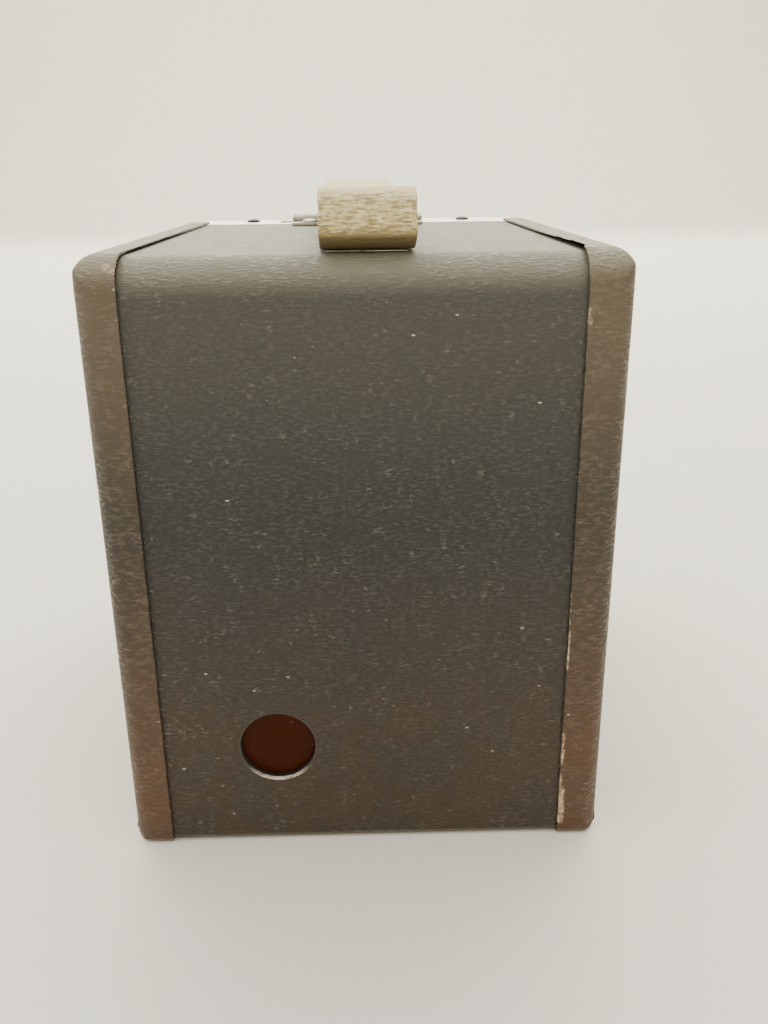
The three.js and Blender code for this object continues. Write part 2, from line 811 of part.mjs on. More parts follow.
// A slide behind the front plate, with a finger tab above the camera.
function slide([x0, x1], [bottom, shoulder], [n0, n1]) {
  return union(
    block([x0, x1], SLIDE, [bottom, shoulder]),
    block([n0, n1], SLIDE, [shoulder - 1, 107]),
    block([n0 - 1, n1 + 1], [SLIDE[0] - 0.5, SLIDE[1] + 0.5], [FRONT.top + 0.5, 107.2]),
  );
}

node(
  "stop_slide",
  cut(
    slide([-6, 6], [38.4, 94.8], [-2.4, 2.4]),
    rodY(0, MIDDLE, 4, [115, 118]),
    rodY(0, MIDDLE - STOP_TRAVEL, 2.3, [115, 118]),
  ),
  DARK_STEEL,
);
node(
  "time_slide",
  union(slide([9.5, 13.5], [60, 96], [9.5, 13.5]), block([9.5, 13.5], [110.2, 116.5], [60, 61])),
  DARK_STEEL,
);
node(
  "slide_guide",
  union(
    block([-8.6, 17], [114.6, 115.2], [82, 88]),
    block([-8.6, -7.4], [115, 117.4], [82, 88]),
    block([15.8, 17], [115, 117.4], [82, 88]),
  ),
  BLACK_STEEL,
);

// ---------------------------------------------------------------- finders

// A lens of the finders, flat towards the mirror.
function finderLens({ x, z }) {
  const profile = [[0, 115.8], [5, 115.8], [5, 116.6], [4, 117.05], [2, 117.35], [0, 117.45]];
  const points = profile.map(([radius, y]) => new THREE.Vector2(radius, y));
  return solid(new THREE.LatheGeometry(points, 24).translate(x, 0, z));
}

// The outline of a wedge in (distance from its corner, Y), and of the mirror that lies on it.
const WEDGE = FINDER_DEPTH[1] - FINDER_DEPTH[0] - 1.2;
const wedge = (corner, sign) =>
  outline([
    [corner, FINDER_DEPTH[0]],
    [corner + sign * WEDGE, FINDER_DEPTH[0]],
    [corner, FINDER_DEPTH[0] + WEDGE],
  ]);
const mirror = (corner, sign) =>
  outline([
    [corner + sign * WEDGE, FINDER_DEPTH[0] + 0.3],
    [corner + sign * (WEDGE + 1.2), FINDER_DEPTH[0] + 0.3],
    [corner + sign * 0.3, FINDER_DEPTH[0] + WEDGE + 1.2],
    [corner + sign * 0.3, FINDER_DEPTH[0] + WEDGE],
  ]);

// The top finder turns the view up, so its wedge is drawn in (Y, Z).
const flip = (shape) => outline(shape.getPoints().map(({ x, y }) => [y, x]));
const topCorner = TOP_FINDER.z - WEDGE / 2 - 0.5;
const topSpan = [TOP_FINDER.x - TOP_FINDER.half, TOP_FINDER.x + TOP_FINDER.half];
node("top_finder_block", alongX(flip(wedge(topCorner, 1)), topSpan), [0x1a1a1a, 0.8]);
node("top_finder_mirror", alongX(flip(mirror(topCorner, 1)), topSpan), [0xe6e8ea, 0.05, 1]);
node("top_finder_lens", finderLens(TOP_FINDER), GLASS);
node("top_finder_glass", block(topSpan, FINDER_DEPTH, [102.3, 102.9]), GLASS);

// The side finder turns the view to the right, so its wedge is drawn in (X, Y).
const sideCorner = SIDE_FINDER.x - WEDGE / 2 - 0.5;
const sideSpan = [SIDE_FINDER.z - SIDE_FINDER.half, SIDE_FINDER.z + SIDE_FINDER.half];
node("side_finder_block", alongZ(wedge(sideCorner, 1), sideSpan), [0x1a1a1a, 0.8]);
node("side_finder_mirror", alongZ(mirror(sideCorner, 1), sideSpan), [0xe6e8ea, 0.05, 1]);
node("side_finder_lens", finderLens(SIDE_FINDER), GLASS);
node("side_finder_glass", block([40, 40.6], FINDER_DEPTH, sideSpan), GLASS);

// ---------------------------------------------------------------- frame of the whole part

// The part stands on its base, with its origin under the middle of its box.
const whole = new THREE.Box3().setFromObject(camera);
const centre = whole.getCenter(new THREE.Vector3());
camera.position.set(-centre.x, -centre.y, -whole.min.z);

export default camera;
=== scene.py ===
"""The looks of a leather-covered roll-film box camera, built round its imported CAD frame."""
import json
import math

import bmesh
import bpy
from mathutils import Matrix, Vector, noise


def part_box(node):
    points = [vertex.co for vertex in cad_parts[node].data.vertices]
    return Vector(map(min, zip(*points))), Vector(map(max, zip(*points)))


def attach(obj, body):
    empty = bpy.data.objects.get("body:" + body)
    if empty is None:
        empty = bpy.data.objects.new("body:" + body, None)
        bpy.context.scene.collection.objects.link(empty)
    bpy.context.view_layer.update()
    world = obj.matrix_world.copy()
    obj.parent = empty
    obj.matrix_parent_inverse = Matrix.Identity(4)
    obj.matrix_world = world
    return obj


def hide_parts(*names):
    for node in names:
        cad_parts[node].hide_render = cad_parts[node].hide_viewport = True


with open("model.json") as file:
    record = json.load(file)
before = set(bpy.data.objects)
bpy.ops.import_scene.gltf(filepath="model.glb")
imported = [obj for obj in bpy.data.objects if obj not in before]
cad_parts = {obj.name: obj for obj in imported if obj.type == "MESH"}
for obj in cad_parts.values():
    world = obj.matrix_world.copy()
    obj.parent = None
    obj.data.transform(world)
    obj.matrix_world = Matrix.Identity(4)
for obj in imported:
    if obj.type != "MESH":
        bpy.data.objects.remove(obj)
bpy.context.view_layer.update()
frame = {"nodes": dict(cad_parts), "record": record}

# ---------- the camera's own frame

MM = 0.001
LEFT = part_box("left_covering")
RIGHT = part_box("right_covering")
MID_X = (LEFT[0].x + RIGHT[1].x) / 2
REAR_Y = LEFT[0].y
HEIGHT = (LEFT[1].z - LEFT[0].z) / MM
DEPTH = (LEFT[1].y - LEFT[0].y) / MM
HALF = (RIGHT[1].x - LEFT[0].x) / MM / 2

# The case's rounded edges and layers, in millimetres, as its CAD solids have them.
SIDE_R = 3.2
SIDE_TOP_R = 6.0
MIDDLE_TOP_R = 8.0
BOTTOM_R = 1.6
SEAM = {-1: (MID_X - LEFT[1].x) / MM, 1: (RIGHT[0].x - MID_X) / MM}
CENTRE_DEPTH = 0.6
CASE_TOP = HEIGHT - CENTRE_DEPTH


def at(x, y, z):
    """A point given in millimetres from the camera's middle, rear face and base."""
    return Vector((MID_X + x * MM, REAR_Y + y * MM, z * MM))


def span(node):
    """A node's box in the same millimetres: (low x, y, z), (high x, y, z)."""
    low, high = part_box(node)
    corner = Vector((MID_X, REAR_Y, 0))
    return (low - corner) / MM, (high - corner) / MM


def middle_of(node):
    """The middle of a node's box, in the same millimetres."""
    low, high = span(node)
    return (low + high) / 2


def linked(name, data):
    """A new object that holds this data, in the scene."""
    made = bpy.data.objects.new(name, data)
    bpy.context.scene.collection.objects.link(made)
    return made


# ---------- view, floor and lights

VIEW_FROM = (1.3, -142.6, 116.2)
VIEW_DOWN = math.radians(20.02)
VIEW_TURN = math.radians(1.01)
VIEW_ROLL = math.radians(-0.7)
LENS_MM = 33.05


def make_camera():
    """The camera, level except for VIEW_ROLL, looking down and a little to the right."""
    data = bpy.data.cameras.new("view")
    data.sensor_width = 36
    data.lens = LENS_MM
    data.clip_start = 0.005
    camera = linked("view", data)
    ahead = Vector((math.sin(VIEW_TURN), math.cos(VIEW_TURN), 0))
    forward = ahead * math.cos(VIEW_DOWN) - Vector((0, 0, math.sin(VIEW_DOWN)))
    level = Vector((math.cos(VIEW_TURN), -math.sin(VIEW_TURN), 0))
    above = level.cross(forward)
    right = level * math.cos(VIEW_ROLL) + above * math.sin(VIEW_ROLL)
    up = above * math.cos(VIEW_ROLL) - level * math.sin(VIEW_ROLL)
    turn = Matrix((right, up, -forward)).transposed().to_4x4()
    camera.matrix_world = Matrix.Translation(at(*VIEW_FROM)) @ turn
    bpy.context.scene.camera = camera


def area_light(name, place, target, size, power, colour):
    """A rectangular lamp at place that faces the target and isn't seen by the camera."""
    data = bpy.data.lights.new(name, "AREA")
    data.shape = "RECTANGLE"
    data.size, data.size_y = size
    data.energy = power
    data.color = colour
    lamp = linked(name, data)
    lamp.location = place
    lamp.rotation_mode = "QUATERNION"
    lamp.rotation_quaternion = (Vector(target) - Vector(place)).to_track_quat("-Z", "Y")
    lamp.visible_camera = False


def make_lights():
    """Soft light from above and from the wall, with weak fills from the room."""
    middle = (0, 0, 0.05)
    area_light("ceiling", (0, 0, 1.15), middle, (1.8, 2.4), 38, (1.0, 0.985, 0.94))
    area_light("wall_glow", (0, 1.3, 0.6), middle, (2.2, 1.0), 19, (1.0, 0.955, 0.80))
    area_light("wall_wash", (0, 0.9, 1.7), (0, 1.9, 0.35), (2.4, 0.4), 60, (1.0, 0.975, 0.89))
    area_light("room_behind", (0.2, -1.5, 0.4), middle, (2.4, 0.6), 3.1, (0.98, 0.99, 1.0))
    area_light("window_left", (-1.0, -0.1, 0.45), middle, (0.7, 0.7), 3.2, (0.84, 0.86, 1.0))
    area_light("warm_fill", (0.1, -0.7, 0.13), middle, (1.0, 0.12), 1.1, (1.0, 0.66, 0.34))
    world = bpy.data.worlds.new("studio")
    bpy.context.scene.world = world
    world.use_nodes = True
    back = world.node_tree.nodes["Background"]
    back.inputs["Color"].default_value = (0.9, 0.88, 0.80, 1)
    back.inputs["Strength"].default_value = 0.34


# ---------- materials


class Look:
    """A Principled material under construction, with short calls for its nodes."""

    def __init__(self, name, **constants):
        self.material = bpy.data.materials.new(name)
        self.material.use_nodes = True
        self.tree = self.material.node_tree
        self.tree.nodes.clear()
        self.bsdf = self.tree.nodes.new("ShaderNodeBsdfPrincipled")
        output = self.tree.nodes.new("ShaderNodeOutputMaterial")
        self.tree.links.new(self.bsdf.outputs["BSDF"], output.inputs["Surface"])
        for socket, value in constants.items():
            self.bsdf.inputs[socket.replace("_", " ")].default_value = value
        self.coords = self.node("ShaderNodeTexCoord").outputs["Object"]
        self.split = self.node("ShaderNodeSeparateXYZ", Vector=self.coords)

    def put(self, socket, value):
        """Links an output to the socket, or sets a plain value on it."""
        if isinstance(value, bpy.types.NodeSocket):
            self.tree.links.new(value, socket)
        else:
            socket.default_value = value

    def node(self, kind, **inputs):
        """A new node with its inputs set, or linked where the value is another's output."""
        made = self.tree.nodes.new(kind)
        for key, value in inputs.items():
            self.put(made.inputs[key.replace("_", " ")], value)
        return made

    def place(self, scale=(1, 1, 1), shift=(0, 0, 0)):
        """Object coordinates in millimetres, stretched."""
        mapping = self.node("ShaderNodeMapping", Vector=self.coords)
        mapping.inputs["Scale"].default_value = [s / MM for s in scale]
        mapping.inputs["Location"].default_value = shift
        return mapping.outputs["Vector"]

    def noise(self, size, detail=3.0, rough=0.5, warp=0.0, stretch=(1, 1, 1), shift=(0, 0, 0)):
        """Noise whose patches are about size millimetres across."""
        vector = self.place([s / size for s in stretch], shift)
        made = self.node(
            "ShaderNodeTexNoise", Vector=vector, Scale=1.0,
            Detail=detail, Roughness=rough, Distortion=warp,
        )
        return made.outputs["Fac"]

    def cells(self, size, stretch=(1, 1, 1), shift=(0, 0, 0)):
        """Distance from the nearest of scattered points, about size millimetres apart."""
        vector = self.place([s / size for s in stretch], shift)
        return self.node("ShaderNodeTexVoronoi", Vector=vector, Scale=1.0).outputs["Distance"]

    def math(self, operation, a, b=0.0, clamp=False):
        made = self.tree.nodes.new("ShaderNodeMath")
        made.operation = operation
        made.use_clamp = clamp
        self.put(made.inputs[0], a)
        self.put(made.inputs[1], b)
        return made.outputs[0]

    def times(self, a, b):
        return self.math("MULTIPLY", a, b)

    def ramp(self, value, low, high, out_low=0.0, out_high=1.0):
        """value from low..high mapped smoothly to out_low..out_high and held there."""
        made = self.node(
            "ShaderNodeMapRange", Value=value,
            From_Min=low, From_Max=high, To_Min=out_low, To_Max=out_high,
        )
        made.interpolation_type = "SMOOTHSTEP"
        return made.outputs["Result"]

    def mix(self, factor, a, b):
        """Colour a where factor is 0 and b where it is 1."""
        made = self.tree.nodes.new("ShaderNodeMix")
        made.data_type = "RGBA"
        self.put(made.inputs["Factor"], factor)
        for socket, value in ((made.inputs["A"], a), (made.inputs["B"], b)):
            if not isinstance(value, bpy.types.NodeSocket) and len(value) == 3:
                value = (*value, 1)
            self.put(socket, value)
        return made.outputs["Result"]

    def axis(self, index):
        """One object coordinate, in millimetres from the camera's own middle, rear or base."""
        start = (MID_X, REAR_Y, 0)[index]
        return self.times(self.math("SUBTRACT", self.split.outputs[index], start), 1 / MM)

    def bump(self, height, distance_mm, strength=1.0, under=None):
        """A normal bent by the height, on top of the normal under it if there is one."""
        under = {} if under is None else {"Normal": under}
        distance = distance_mm * MM
        made = self.node("ShaderNodeBump", Height=height, Distance=distance, Strength=strength, **under)
        return made.outputs["Normal"]

    def finish(self, colour=None, roughness=None, normal=None, metallic=None):
        """Connects what is given to the shader, and returns the material."""
        given = {"Base Color": colour, "Roughness": roughness, "Normal": normal, "Metallic": metallic}
        for socket, value in given.items():
            if value is not None:
                self.put(self.bsdf.inputs[socket], value)
        return self.material


def band(look, value, low, high, soft):
    """1 between low and high, fading to 0 over soft on either side."""
    rise = look.ramp(value, low - soft, low + soft)
    fall = look.ramp(value, high - soft, high + soft, 1.0, 0.0)
    return look.times(rise, fall)


def faces_up(look, low=0.55, high=0.85):
    """1 on level faces, 0 on upright ones, changing over between the two slopes."""
    normal = look.node("ShaderNodeNewGeometry").outputs["Normal"]
    facing = look.node("ShaderNodeSeparateXYZ", Vector=normal)
    return look.ramp(look.math("ABSOLUTE", facing.outputs["Z"]), low, high)


def flecks(look, size, stretch, shift=(0, 0, 0)):
    """Short raised dashes, drawn out along the axes whose stretch is small."""
    fold = look.noise(size, 1.2, 0.5, 0.25, stretch, shift)
    return look.ramp(fold, 0.42, 0.66)


def leatherette(name, tone=(1, 1, 1), wear=None):
    """Leather-grained cloth, dark and dusty, with pale worn places where wear says. Its paler crests
    and ridge tops are partly painted glints, its paler top and up-facing faces partly painted sheen,
    and its browner base partly painted warm bounce light.
    """
    look = Look(name, Specular_IOR_Level=0.44, Sheen_Weight=0.12, Sheen_Roughness=0.4)
    look.bsdf.inputs["Sheen Tint"].default_value = (0.86, 0.84, 0.72, 1)

    def toned(*colour):
        return tuple(channel * t for channel, t in zip(colour, tone))

    upward = faces_up(look)
    wall = flecks(look, 0.44, (0.38, 0.38, 1.0))
    lid = flecks(look, 0.44, (0.38, 1.0, 1.0), (4, 2, 6))
    ridge = look.mix(upward, wall, lid)
    here = look.noise(4.2, 2.0, 0.6, 0.0, (0.7, 0.7, 1.0), (6, 1, 3))
    ridge = look.times(ridge, look.ramp(here, 0.34, 0.6, 0.45, 1.0))
    pores = look.noise(0.24, 2.0, 0.6, 0.2, (0.6, 0.6, 1.0))
    broad = look.noise(26, 3.0, 0.55)
    patch = look.noise(9, 3.0, 0.6, shift=(3, 1, 7))
    ground = look.mix(broad, toned(0.012, 0.013, 0.011), toned(0.020, 0.020, 0.016))
    # The crests' lighter colour is partly grain tone and partly painted glint.
    crest = look.mix(patch, toned(0.030, 0.030, 0.025), toned(0.044, 0.043, 0.035))
    colour = look.mix(look.times(ridge, 0.85), ground, crest)
    colour = look.mix(look.ramp(pores, 0.36, 0.6, 0.4, 0.0), colour, toned(0.006, 0.006, 0.005))
    # Browner towards the base: partly grime, partly painted warm bounce light from below.
    low = look.ramp(look.axis(2), 2, 66, 1.0, 0.0)
    brown_dirt_and_bounce = look.times(low, look.ramp(patch, 0.3, 0.75, 0.4, 0.8))
    colour = look.mix(brown_dirt_and_bounce, colour, toned(0.044, 0.023, 0.008))
    # Paler towards the top: painted light from above and behind, not a change in the cloth.
    high = look.ramp(look.axis(2), 60, 100, 0.0, 0.34)
    colour = look.mix(high, colour, toned(0.095, 0.093, 0.076))
    # Pale ridge tops: painted glints, partly worn ridges.
    highlight_and_wear = look.times(ridge, look.ramp(look.noise(1.3, 2.0, 0.6), 0.6, 0.7))
    colour = look.mix(look.times(highlight_and_wear, 0.4), colour, (0.19, 0.18, 0.15))
    # Pale olive on up-facing faces: partly dust, partly painted sheen where they reflect the bright
    # wall.
    dust_and_sheen = look.times(faces_up(look, 0.12, 0.8), 0.42)
    colour = look.mix(dust_and_sheen, colour, (0.25, 0.235, 0.135))
    specks = look.cells(2.6, stretch=(0.6, 1, 1.3), shift=(5, 2, 9))
    keep = look.ramp(look.noise(5.5, 2.0, shift=(9, 4, 2)), 0.55, 0.66)
    dust = look.times(look.ramp(specks, 0.05, 0.10, 1.0, 0.0), keep)
    colour = look.mix(look.times(dust, 0.8), colour, (0.60, 0.57, 0.48))
    rough = look.ramp(ridge, 0.0, 0.9, 0.62, 0.36)
    if wear is not None:
        worn = wear(look)
        pale = look.noise(1.1, 3.0, 0.7, shift=(8, 8, 1))
        tan = look.mix(look.ramp(pale, 0.35, 0.65), (0.24, 0.15, 0.08), (0.58, 0.47, 0.34))
        colour = look.mix(worn, colour, tan)
        rough = look.math("ADD", rough, look.times(worn, 0.25), clamp=True)
    relief = look.math("ADD", look.times(ridge, 0.8), look.times(pores, 0.4))
    normal = look.bump(relief, 0.15, 1.0, look.bump(broad, 0.5, 0.3))
    return look.finish(colour, rough, normal)


# Worn stretches of the right (1) and left (-1) seam: from and to (height), softness, width
# and strength.
WORN_PLACES = {
    1: [
        (93.2, 97.0, 1.0, 1.5, 0.40), (100.2, 103.0, 0.8, 0.9, 0.40), (41, 52, 3.0, 0.5, 0.44),
        (33, 43, 2.0, 0.7, 0.52), (2.0, 11, 1.6, 1.9, 0.60), (9, 23, 2.5, 1.1, 0.50),
    ],
    -1: [(101.9, 103.7, 0.45, 5.0, 0.50)],
}


def seam_wear(side):
    """Tan places where the side covering's edge has rubbed through."""
    seam = SEAM[side]

    def wear(look):
        across = look.times(look.axis(0), float(side))
        height = look.axis(2)
        ragged = look.noise(1.5, 4.0, 0.7, 0.5, (1.0, 0.6, 0.6), (2, 8, 5))
        total = None
        for low, high, soft, width, amount in WORN_PLACES[side]:
            near = look.ramp(across, seam + 0.3 * width, seam + width, 1.0, 0.0)
            one = look.times(look.times(band(look, height, low, high, soft), near), amount)
            total = one if total is None else look.math("MAXIMUM", total, one)
        total = look.times(total, look.ramp(look.axis(1), 5, 8, 1.0, 0.0))
        edge = look.ramp(across, seam + 0.05, seam + 0.35, 0.24, 0.0)
        total = look.math("MAXIMUM", total, edge)
        cut = look.math("ADD", total, look.math("SUBTRACT", ragged, 0.5))
        return look.times(look.ramp(cut, 0.36, 0.5), 0.8)

    return wear


def strap_leather():
    """Old pale leather, wrinkled across, with painted shade in the fold valleys and painted glints on
    the crests, and brown under the curl: painted shade with some grime.
    """
    look = Look("strap_leather", Specular_IOR_Level=0.3)
    curl = look.ramp(look.axis(1), 13, 17, 1.0, 0.12)
    smooth_top = look.ramp(look.axis(2), 111.8, 113.4, 1.0, 0.25)
    smooth_low = look.ramp(look.axis(2), 106.4, 107.6, 0.2, 1.0)
    amount = look.times(curl, look.times(smooth_top, smooth_low))
    fold = look.noise(0.40, 1.5, 0.5, 0.3, (0.26, 1.0, 1.0))
    crest = look.ramp(fold, 0.36, 0.64)
    stain = look.noise(7, 3.0, 0.6)
    pale = look.mix(stain, (0.62, 0.52, 0.235), (0.72, 0.62, 0.31))
    # Painted shade in the fold valleys.
    crease_shade = look.times(amount, look.ramp(fold, 0.36, 0.48, 0.85, 0.0))
    colour = look.mix(crease_shade, pale, (0.26, 0.20, 0.085))
    # Painted glints on the fold crests.
    glint = look.times(amount, look.ramp(fold, 0.54, 0.62, 0.0, 0.5))
    colour = look.mix(glint, colour, (0.86, 0.78, 0.50))
    # Darker brown under the rear curl: painted shade, with some grime.
    under = look.ramp(look.axis(2), 106.2, 108.0, 0.95, 0.0)
    under_shade_and_grime = look.times(look.ramp(look.axis(1), 14, 18, 1.0, 0.0), under)
    colour = look.mix(under_shade_and_grime, colour, (0.060, 0.046, 0.020))
    pores = look.noise(0.3, 2.0)
    colour = look.mix(look.ramp(pores, 0.3, 0.7, 0.0, 0.15), colour, (0.36, 0.28, 0.16))
    rough = look.ramp(stain, 0.3, 0.7, 0.42, 0.58)
    raised = look.times(crest, amount)
    normal = look.bump(pores, 0.04, 0.3, look.bump(raised, 0.3, 0.9))
    return look.finish(colour, rough, normal)


def strap_flesh():
    """The strap's rough underside: brown nap with darker stains."""
    look = Look("strap_flesh_side", Specular_IOR_Level=0.25, Sheen_Weight=0.2)
    nap = look.noise(0.5, 4.0, 0.7)
    stain = look.noise(6, 3.0)
    colour = look.mix(nap, (0.115, 0.080, 0.040), (0.20, 0.145, 0.078))
    colour = look.mix(look.ramp(stain, 0.4, 0.7, 0.0, 0.5), colour, (0.07, 0.05, 0.028))
    return look.finish(colour, 0.85, look.bump(nap, 0.12, 0.7))


def metal(name, dark, light, rough, tarnish=0.35):
    """Worn metal: long fine scratches, cloudy tarnish and a few pits."""
    look = Look(name)
    lines = look.noise(0.22, 3.0, 0.65, 0.0, (0.08, 1, 1))
    cloud = look.noise(6, 4.0, 0.6, 0.3)
    colour = look.mix(look.ramp(cloud, 0.35, 0.7), light, dark)
    pits = look.noise(1.1, 2.0, shift=(4, 4, 4))
    spots = look.ramp(pits, 0.64, 0.74, 0.0, 0.3)
    colour = look.mix(spots, colour, (0.09, 0.07, 0.045))
    worn = look.ramp(cloud, 0.3, 0.75, rough, rough + tarnish)
    worn = look.math("ADD", worn, look.ramp(lines, 0.3, 0.7, -0.06, 0.08), clamp=True)
    normal = look.bump(lines, 0.02, 0.35, look.bump(spots, 0.05, 0.4))
    metallic = look.math("SUBTRACT", 1.0, look.times(spots, 0.7))
    return look.finish(colour, worn, normal, metallic)


def enamel(name, base, rough, chips=0.0):
    """Stoved black paint with fine orange peel, dust, and bare metal where it has chipped."""
    look = Look(name, Specular_IOR_Level=0.5)
    peel = look.noise(0.7, 3.0, 0.5)
    cloud = look.noise(11, 3.0, 0.55)
    brighter = tuple(1.9 * channel + 0.004 for channel in base)
    colour = look.mix(look.ramp(cloud, 0.3, 0.75), base, brighter)
    dust = look.ramp(look.noise(0.45, 3.0, 0.6, shift=(7, 3, 1)), 0.66, 0.8, 0.0, 0.35)
    colour = look.mix(dust, colour, (0.20, 0.18, 0.15))
    normal = look.bump(peel, 0.04, 0.4)
    value = look.ramp(cloud, 0.3, 0.7, rough - 0.06, rough + 0.12)
    if not chips:
        return look.finish(colour, value, normal)
    bare = look.times(look.ramp(look.noise(1.7, 4.0, 0.7, 0.5), 0.66, 0.7), chips)
    colour = look.mix(bare, colour, (0.42, 0.40, 0.36))
    return look.finish(colour, value, normal, bare)


def glass(name, tint=(0.93, 0.96, 0.95), rough=0.02):
    """Old glass with a little haze and dust."""
    look = Look(name, IOR=1.52, Transmission_Weight=1.0)
    look.bsdf.inputs["Base Color"].default_value = (*tint, 1)
    haze = look.noise(5, 4.0, 0.65)
    specks = look.ramp(look.noise(0.3, 2.0, shift=(1, 6, 3)), 0.7, 0.8, 0.0, 0.3)
    value = look.math("ADD", look.ramp(haze, 0.4, 0.8, rough, rough + 0.14), specks)
    return look.finish(roughness=value)


def mirror():
    """Silvering that has aged in patches."""
    look = Look("finder_mirror", Metallic=1.0)
    age = look.noise(3.2, 4.0, 0.65, 0.4)
    colour = look.mix(look.ramp(age, 0.55, 0.75, 0.0, 0.5), (0.88, 0.89, 0.9), (0.42, 0.38, 0.3))
    return look.finish(colour, look.ramp(age, 0.4, 0.8, 0.03, 0.28))


def celluloid():
    """The red window: dark, cloudy celluloid with fine scuffs."""
    look = Look("red_celluloid", Specular_IOR_Level=0.08)
    cloud = look.noise(6, 3.0, 0.5)
    colour = look.mix(cloud, (0.032, 0.0062, 0.0010), (0.046, 0.0088, 0.0014))
    mote = look.ramp(look.cells(4.2, shift=(0.3, 0, 0.6)), 0.03, 0.08, 0.45, 0.0)
    colour = look.mix(mote, colour, (0.22, 0.085, 0.04))
    scuff = look.noise(0.3, 3.0, 0.6, 0.0, (1, 1, 0.2))
    return look.finish(colour, look.ramp(scuff, 0.3, 0.7, 0.24, 0.42), look.bump(scuff, 0.01, 0.3))


def floor_paint():
    """Matt pale paint, faintly cloudy."""
    look = Look("floor", Specular_IOR_Level=0.3)
    cloud = look.noise(60, 3.0)
    colour = look.mix(cloud, (0.76, 0.725, 0.62), (0.80, 0.765, 0.665))
    return look.finish(colour, 0.75, look.bump(look.noise(1.5, 3.0), 0.05, 0.15))


def hole_edge():
    """The cut edge round the film window: bare fibre, with a paler lower rim that is a painted
    highlight on rubbed fibre.
    """
    look = Look("window_edge", Specular_IOR_Level=0.4)
    fibre = look.noise(0.5, 3.0, 0.6)
    # The lower rim is paler: a painted highlight where it faces the light above, with rubbed fibre.
    low = look.ramp(look.axis(2), 13.2, 16.4, 1.0, 0.0)
    highlight_and_wear = look.times(low, look.ramp(fibre, 0.25, 0.55))
    dark = look.mix(fibre, (0.030, 0.027, 0.021), (0.050, 0.044, 0.034))
    colour = look.mix(highlight_and_wear, dark, (0.50, 0.44, 0.35))
    return look.finish(colour, 0.55, look.bump(fibre, 0.08, 0.6))


# The side coverings have faded warmer and lighter than the middle strip.
SIDE_TONE = (2.1, 1.6, 1.2)

LOOKS = {
    "leather_centre": leatherette("covering_leatherette_centre"),
    "leather_left": leatherette("covering_leatherette_left", SIDE_TONE, seam_wear(-1)),
    "leather_right": leatherette("covering_leatherette_right", SIDE_TONE, seam_wear(1)),
    "strap": strap_leather(),
    "strap_flesh": strap_flesh(),
    "nickel": metal("nickel_plate", (0.50, 0.46, 0.38), (0.74, 0.71, 0.64), 0.24),
    "band": metal("nickel_band", (0.66, 0.63, 0.55), (0.82, 0.80, 0.73), 0.22, tarnish=0.2),
    "dull_nickel": metal("dull_nickel", (0.36, 0.34, 0.26), (0.56, 0.53, 0.42), 0.5),
    "spring": metal("spring_steel", (0.30, 0.29, 0.27), (0.47, 0.47, 0.46), 0.3),
    "dark_steel": metal("blued_steel", (0.055, 0.052, 0.05), (0.12, 0.115, 0.11), 0.34),
    "enamel": enamel("black_enamel", (0.012, 0.012, 0.013), 0.36, 0.8),
    "matt": enamel("matt_black", (0.008, 0.008, 0.008), 0.78),
    "lacquer": enamel("spool_lacquer", (0.018, 0.016, 0.014), 0.3, 0.5),
    "glass": glass("finder_glass"),
    "lens": glass("lens_glass", (0.95, 0.97, 0.96), 0.01),
    "mirror": mirror(),
    "celluloid": celluloid(),
    "edge": hole_edge(),
    "floor": floor_paint(),
}

NODE_LOOKS = {
    "enamel": [
        "case_wrap", "left_side_panel", "right_side_panel", "front_plate", "lens_board",
        "gate_plate", "left_wall", "right_wall", "lens_ring", "shutter_plate", "slide_guide",
    ],
    "matt": ["light_cone", "top_finder_block", "side_finder_block"],
    "nickel": ["winding_key_bush", "catch_stud", "top_roller", "bottom_roller",
               "lens_retaining_ring", "winding_shaft"],
    "band": ["front_frame"],
    "dark_steel": ["window_ring", "catch_hinge_pin", "winding_shaft_clip", "shutter_disc",
                   "release_lever"],
    "spring": ["take_up_pivot_spring", "supply_pivot_spring_left", "supply_pivot_spring_right",
               "winding_dog", "lever_spring"],
    "lens": ["lens", "top_finder_lens", "side_finder_lens"],
    "glass": ["top_finder_glass", "side_finder_glass"],
    "mirror": ["top_finder_mirror", "side_finder_mirror"],
    "lacquer": ["take_up_spool"],
}


CRISP_ANGLE = math.radians(34)


def all_smooth(mesh):
    for polygon in mesh.polygons:
        polygon.use_smooth = True


def shade(piece):
    """Smooth shading on a CAD node's round faces, with its flat faces and edges kept crisp."""
    weld = piece.modifiers.new("weld", "WELD")
    weld.merge_threshold = 1e-6
    split = piece.modifiers.new("edges", "EDGE_SPLIT")
    split.split_angle = CRISP_ANGLE
    piece.modifiers.new("normals", "WEIGHTED_NORMAL")
    all_smooth(piece.data)


def dress_frame():
    """Every CAD node that keeps its shape gets its material and its shading."""
    for look, names in NODE_LOOKS.items():
        for name in names:
            piece = frame["nodes"][name]
            piece.data.materials.clear()
            piece.data.materials.append(LOOKS[look])
            shade(piece)


# ---------- mesh helpers


def smooth_by_angle(piece, degrees):
    """Smooth shading, except across edges that turn by more than the angle."""
    all_smooth(piece.data)
    piece.data.set_sharp_from_angle(angle=math.radians(degrees))


BODIES = {
    node: body
    for body, members in frame["record"]["behaviour"]["bodies"].items() for node in members
}


def add_piece(name, mesh, look, node, replace=True, extra=()):
    """A finished piece: its mesh, material and body, in place of its CAD node."""
    piece = linked(name, mesh)
    for material in (look, *extra):
        mesh.materials.append(LOOKS[material])
    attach(piece, BODIES[node])
    if replace:
        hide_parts(node)
    return piece


def mesh_from(name, points, faces):
    """A mesh of points given in the camera's own millimetres."""
    mesh = bpy.data.meshes.new(name)
    mesh.from_pydata([at(*p) for p in points], [], faces)
    mesh.validate()
    return mesh


